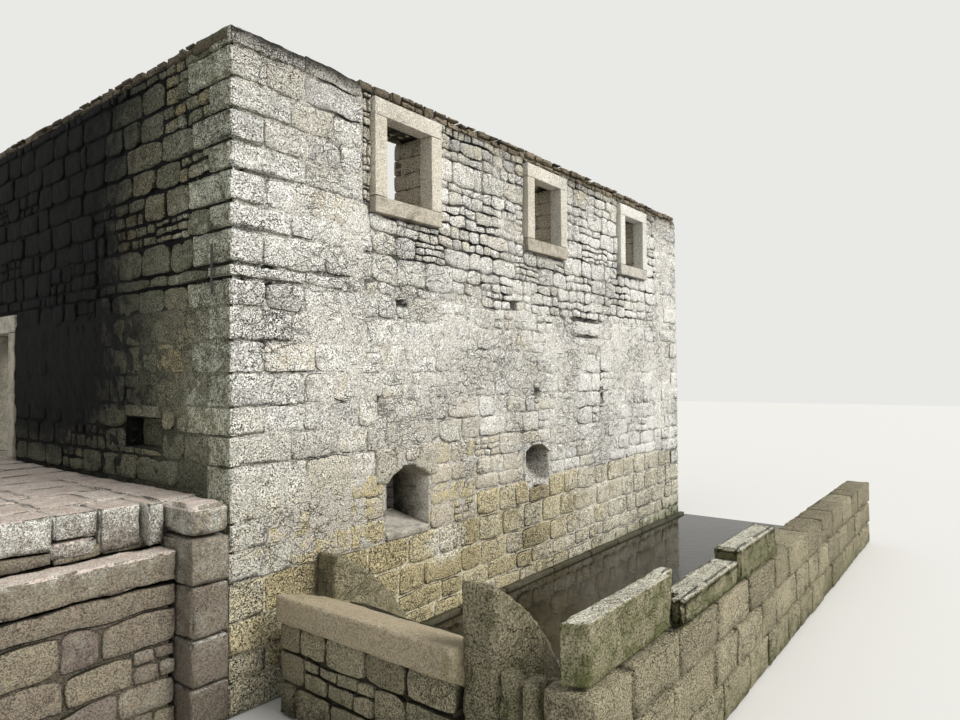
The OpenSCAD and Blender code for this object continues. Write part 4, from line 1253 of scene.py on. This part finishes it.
def landing():
    """The landing's paving and masonry, its corner pier and the long step."""
    rnd = random.Random(61)
    heap = new_part()
    slabs = list(PAVING)
    for y0, y1 in walk(rnd, 2.5, DEEP, 0.45, 0.75, 0.4):
        for x0, x1 in walk(rnd, -1.6, 0.0, 0.4, 0.9, 0.3):
            slabs.append((x0, x1, y0, y1))
    worn = {"edge": 0.018, "rough": 0.014, "chips": 0.03, "paint": landing_paint, "slots": top_or_side}
    for x0, x1, y0, y1 in slabs:
        foot = local_box("landing_slabs")[0].z
        if y0 < 0.48 and x0 > -1.2:
            # The slabs over the pier and beside it go down to the next stone
            foot = 1.412 if x0 > -0.8 else 1.56
        top = LANDING - rnd.uniform(0.0, 0.012)
        block(heap, (x0 + 0.002, y0 + 0.002, foot), (x1 - 0.002, y1 - 0.002, top),
              step=0.035 if y0 < 1.6 else 0.08, tint=rnd.random(), size=5.0, **worn)
    worn["edge"] = 0.03
    block(heap, (-1.12, 0.475, 1.412), (-0.79, 0.7, 1.556), step=0.035, tint=0.2, **worn)
    finish_piece("landing_paving", heap, [TRODDEN, LICHEN], "worn_sandstone", "landing_slabs")
    heap = new_part()
    low, high = local_box("landing_core")
    block(heap, (low.x + 0.05, low.y + 0.05, FOOT), (high.x, high.y - 0.05, high.z - 0.1), step=0.3, rough=0.02,
          paint=always(0, 0.9, 0.2))
    beds = [FOOT, 0.26, 0.5, 0.74, 0.97, 1.17, 1.385, high.z]
    near, far, left, _ = box_faces(low.x, high.x, low.y, high.y)
    across, along = always(low.x, high.x), always(low.y, high.y)
    for n, (turn, ends) in enumerate(((near, across), (left, along), (far, across))):
        lay_field(heap, turn, ends, beds, [], always(0.3, 0.4, 0.02, 0.016), 62 + n, step=0.07,
                  rough=0.012, paint=always(0.15, 0.2, 0.2))
    finish_piece("landing_masonry", heap, [LICHEN], "shaded_rubble", "landing_core")
    heap = new_part()
    low, high = local_box("pier_block_low")
    beds = [FOOT, 0.35, 0.72, high.z]
    for z0, z1 in zip(beds, beds[1:]):
        block(heap, (low.x, low.y, z0 + 0.004), (high.x - 0.004, high.y, z1 - 0.004), step=0.035, edge=0.025,
              rough=0.012, chips=0.03, tint=rnd.random(), paint=landing_paint, slots=lambda n: 1)
    low, high = local_box("pier_block_middle")
    block(heap, (low.x, low.y, low.z + 0.004), (high.x - 0.004, high.y, high.z - 0.005), step=0.025, edge=0.02,
          rough=0.01, chips=0.025, tint=0.6, paint=always(0.34, 0.1, 0.1), slots=lambda n: 1)
    low, high = local_box("pier_block_top")
    block(heap, (low.x, low.y, low.z + 0.004), (high.x - 0.004, high.y, high.z - 0.004), step=0.025, edge=0.05,
          rough=0.014, chips=0.04, tint=0.8,
          paint=lambda p, n: (0.42, 0.05, 0.05) if n.z < 0.55 else (0.4, 0.0, 0.0), slots=top_or_side)
    finish_piece("corner_pier", heap, [TRODDEN, LICHEN], "worn_sandstone",
                 "pier_block_low", "pier_block_middle", "pier_block_top")
    heap = new_part()
    block(heap, *local_box("step_block"), step=0.025, edge=0.026, rough=0.016, chips=0.04, tint=0.7,
          paint=landing_paint, slots=top_or_side, size=6.0)
    finish_piece("step_stone", heap, [TRODDEN, LICHEN], "worn_sandstone", "step_block")
    heap = new_part()
    low, high = local_box("step_base")
    block(heap, (low.x + 0.04, low.y + 0.04, FOOT), (high.x - 0.04, high.y, high.z - 0.02), step=0.2,
          rough=0.01, paint=always(0.0, 0.6, 0.2))
    # One long flat stone lies right under the step
    flat = 0.985
    beds = [FOOT, 0.21, 0.44, 0.7, flat, high.z]
    look = lambda u, v: (0.0, 1.4, 0.016, 0.012) if v > flat else (0.4, 0.36, 0.022, 0.014)
    paint = lambda u, v, d: (0.2, 0.05 + over(0.9, v) * 0.25, 0.05 + over(0.8, v) * 0.4)
    near, _, left, right = box_faces(low.x, high.x, low.y, high.y)
    across, along = always(low.x, high.x), always(low.y + 0.09, high.y)
    for n, (turn, ends) in enumerate(((near, across), (left, along), (right, along))):
        lay_field(heap, turn, ends, beds, [], look, 66 + n, step=0.045, rough=0.012, paint=paint,
                  bend=lambda u, v: 0.02)
    finish_piece("step_masonry", heap, [LICHEN], "shaded_rubble", "step_base")


# Wheel race
def crest(x, z, radius, first, last):
    """The falling curve on top of a cheek stone or apron, from one slope in degrees to another."""
    angles = [math.radians(first + (last - first) * i / 14) for i in range(15)]
    start = math.radians(first)
    return [(x + radius * (math.sin(a) - math.sin(start)), z - radius * (math.cos(start) - math.cos(a)))
            for a in angles]


def race_paint(p, n):
    """Brown on top, green and wet towards the water line."""
    return 0.12, 0.1 + over(0.5, p.z) * 0.5, 0.1 + over(0.7, p.z) * 0.7


def cheek_paint(p, n):
    """Pale crest line, brown sides, and the upstream ends pale with lichen and a painted light on these shaded
    faces, dark with moss stains low down.
    """
    if n.z > 0.35:
        return 0.5, 0.0, 0.0
    if n.x < -0.6:
        if p.y > -1.0:
            return 0.66, 0.0, 0.12 + over(0.6, p.z) * 0.5
        return 0.86, -0.05, 0.1 + over(0.9, p.z) * 0.3
    return 0.1, 0.3, 0.35 + over(0.6, p.z) * 0.5


def apron_paint(p, n):
    """Sandy and worn in the middle, moss-stained along the cheeks."""
    edge = max(0.0, 1 - (p.y + 2.0) / 0.35) + max(0.0, 1 - (-0.4 - p.y) / 0.4)
    return 0.25, 0.0 if n.z > 0.4 else 0.2, 0.05 + 0.3 * min(1.0, edge) + (0.3 if p.z < 0.5 else 0.0)


def kerb_paint(p, n):
    """Sun-bleached tops, faces green with algae."""
    if n.z > 0.55:
        return 0.56, 0.0, 0.2
    return 0.0, 0.2, 0.62 + over(1.12, p.z) * 1.2


def wheel_race():
    """Cheek stones, packing, apron, footing ledge, outer wall, kerb stones and the water between them."""
    rnd = random.Random(91)
    # The free cheek stone's back, and the race wall's face, with the packing between them
    slab_back, wall_face = -2.36, -2.85
    low, high = local_box("race_cheek_inner")
    heap = new_part()
    points = [(low.x, FOOT)] + crest(low.x, high.z, 2.0, 24, 62) + [(high.x, FOOT)]
    outline_block(heap, FRONT, points, low.y, -0.002, edge=0.02, rough=0.016, paint=cheek_paint, tint=0.6)
    finish_piece("cheek_stone_inner", heap, [ALGAE], "worn_sandstone", "race_cheek_inner")
    low, high = local_box("race_cheek_outer")
    heap = new_part()
    curve = crest(low.x, high.z, 2.0, 28, 62)
    points = [(low.x, FOOT)] + curve + [(high.x, FOOT)]
    outline_block(heap, FRONT, points, slab_back, high.y, step=0.045, edge=0.03, rough=0.02, paint=cheek_paint)
    finish_piece("cheek_stone_outer", heap, [ALGAE], "worn_sandstone", "race_cheek_outer")
    heap = new_part()
    slope = (0.96 - curve[-1][1]) / (high.x - low.x)
    for x0, x1 in walk(rnd, low.x, high.x, 0.16, 0.3, 0.12):
        for y0, y1 in walk(rnd, wall_face, slab_back - 0.002, 0.14, 0.26, 0.1):
            block(heap, (x0 + 0.004, y0 + 0.004, FOOT), (x1 - 0.004, y1 - 0.004, 0.95 - slope * (x1 - low.x)),
                  step=(0.05, 0.05, 0.12), edge=0.03, rough=0.02, chips=0.03, tint=rnd.random(),
                  paint=always(0.05, 0.25, 0.5), size=12.0)
    finish_piece("cheek_packing", heap, [ALGAE], "shaded_rubble")
    low, high = local_box("race_apron")
    heap = new_part()
    radius, first, drop = 3.0, 12, 0.97 - 0.08
    last = math.degrees(math.acos(math.cos(math.radians(first)) - drop / radius))
    points = [(low.x, high.z - 0.2)] + crest(low.x, high.z, radius, first, last)
    outline_block(heap, FRONT, points + [(high.x, FOOT), (high.x - 0.25, FOOT)], low.y, high.y, step=0.06,
                  edge=0.02, rough=0.012, paint=apron_paint, size=5.0)
    finish_piece("race_apron_stone", heap, [SANDY], "worn_sandstone", "race_apron")
    heap = new_part()
    turn = plane(at(low.x + 0.01, 0, 0), AXIS_Y, AXIS_Z, AXIS_X)
    lay_field(heap, turn, always(low.y, high.y), [FOOT, 0.27, 0.52, high.z - 0.205], [],
              always(0.2, 0.4, 0.016, 0.012), 94, step=0.05, rough=0.012,
              paint=lambda u, v, d: (0.15, 0.15 + over(0.4, v), 0.3))
    block(heap, (low.x + 0.05, low.y + 0.01, FOOT), (low.x + 0.8, high.y - 0.01, high.z - 0.24), step=0.2,
          rough=0.02, paint=always(0, 0.8, 0.2))
    finish_piece("apron_footing_stones", heap, [ALGAE], "worn_sandstone")
    low, high = local_box("front_wall_ledge")
    heap = new_part()
    for x0, x1 in walk(rnd, low.x, high.x, 0.7, 1.2, 0.5):
        block(heap, (x0 + 0.004, low.y, FOOT), (x1 - 0.004, high.y, high.z), step=0.08, rough=0.012, chips=0.02,
              tint=rnd.random(), paint=always(0, 0.1, 0.4))
    finish_piece("footing_ledge", heap, [WET], "wet_stone", "front_wall_ledge")
    low, high = local_box("race_wall")
    heap = new_part()
    beds = [FOOT, 0.33, 0.66, high.z]
    for z0, z1 in zip(beds, beds[1:]):
        for x0, x1 in walk(rnd, low.x, high.x, 0.45, 0.85, 0.35):
            block(heap, (x0 + 0.006, low.y + rnd.uniform(0.0, 0.015), z0 + 0.004),
                  (x1 - 0.006, high.y - rnd.uniform(0.0, 0.015), z1 - 0.004), step=0.08, edge=0.025,
                  rough=0.014, chips=0.025, tint=rnd.random(), paint=race_paint)
    finish_piece("race_wall_stones", heap, [ALGAE], "shaded_rubble", "race_wall")
    kerbs = [local_box(f"kerb_{n}") for n in (1, 2, 3)]
    first, second, third = kerbs
    inner, middle, outer, lap = first[1].y, first[1].y - 0.12, second[0].y, second[0].x
    joint = 0.003
    outlines = ([(first[0].x, inner), (first[0].x + 0.105, first[0].y), (lap, first[0].y),
                 (lap, middle + joint), (first[1].x, middle + joint), (first[1].x, inner)],
                [(lap + joint, outer), (second[1].x - joint, outer), (second[1].x - joint, inner),
                 (first[1].x + joint, inner), (first[1].x + joint, middle), (lap + joint, middle)],
                [(third[0].x + joint, outer), (third[1].x, outer), (third[1].x, inner),
                 (third[0].x + joint, inner)])
    level = plane(at(0, 0, 0), AXIS_X, AXIS_Y, AXIS_Z)
    for n, (outline, (low, high)) in enumerate(zip(outlines, kerbs)):
        heap = new_part()
        outline_block(heap, level, outline, low.z, high.z, step=0.035, edge=0.035, rough=0.016,
                      tint=rnd.random(), paint=kerb_paint, size=7.0)
        finish_piece(f"kerb_{n + 1}_stone", heap, [ALGAE], "worn_sandstone", f"kerb_{n + 1}")
    water = bmesh.new()
    low, high = local_box("race_bed")
    outer = local_box("race_cheek_outer")[1].x
    inner = local_box("race_cheek_inner")[1].x
    points = [(inner, -0.11), (high.x, -0.11), (high.x, low.y), (outer, low.y), (outer, -2.1), (inner, -2.1)]
    water.faces.new([water.verts.new(at(x, y, 0.1)) for x, y in points])
    for vert in thicken(water):
        vert.co.z = 0.086
    bmesh.ops.recalc_face_normals(water, faces=water.faces)
    piece = finish_piece("still_water_surface", water, [still_water()], "wet_stone")
    for polygon in piece.data.polygons:
        polygon.use_smooth = False


def dress_nodes():
    """CAD nodes that stay, with their materials."""
    for name, material in (("race_bed", WET), ("wall_strap", rusted_iron())):
        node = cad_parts[name]
        node.data.materials.clear()
        node.data.materials.append(material)


# Stage and light
def make_stage():
    """A pale floor, even sky light and one soft sun."""
    floor_part = bmesh.new()
    bmesh.ops.create_grid(floor_part, x_segments=1, y_segments=1, size=60)
    mesh = bpy.data.meshes.new("floor")
    floor_part.to_mesh(mesh)
    floor_part.free()
    floor = new_object("floor", mesh)
    floor.location.z = -0.004
    material = bpy.data.materials.new("pale floor")
    material.use_nodes = True
    shader = material.node_tree.nodes["Principled BSDF"]
    shader.inputs["Base Color"].default_value = colour("d2d1cd")
    shader.inputs["Roughness"].default_value = 0.9
    mesh.materials.append(material)
    world = bpy.data.worlds.new("studio")
    bpy.context.scene.world = world
    world.use_nodes = True
    tree = world.node_tree
    tree.nodes.clear()
    camera_ray, glossy_ray = [add(tree, "LightPath", out=name) for name in ("Is Camera Ray", "Is Glossy Ray")]
    seen = add(tree, "Math", {0: camera_ray, 1: glossy_ray}, operation="MAXIMUM")
    light = add(tree, "Background", {"Color": colour("f2f4f6"), "Strength": 0.7})
    backdrop = add(tree, "Background", {"Color": colour("e9e9e6"), "Strength": 1.0})
    add(tree, "OutputWorld", {"Surface": add(tree, "MixShader", {0: seen, 1: light, 2: backdrop})})
    sun = new_object("soft_key", bpy.data.lights.new("soft_key", "SUN"))
    sun.data.energy = 3.5
    sun.data.angle = math.radians(36)
    sun.data.color = (1.0, 0.98, 0.95)
    sun.rotation_mode = "QUATERNION"
    sun.rotation_quaternion = Vector((0.42, -1.3, 1.15)).to_track_quat("Z", "Y")
    bpy.context.scene.view_settings.view_transform = "Standard"


make_camera()
front_wall()
corner_stones()
window_frames()
door_frame()
window_reveals()
shaft_openings()
other_walls()
inside_faces()
wall_heads()
ground_floor()
landing()
wheel_race()
dress_nodes()
make_stage()
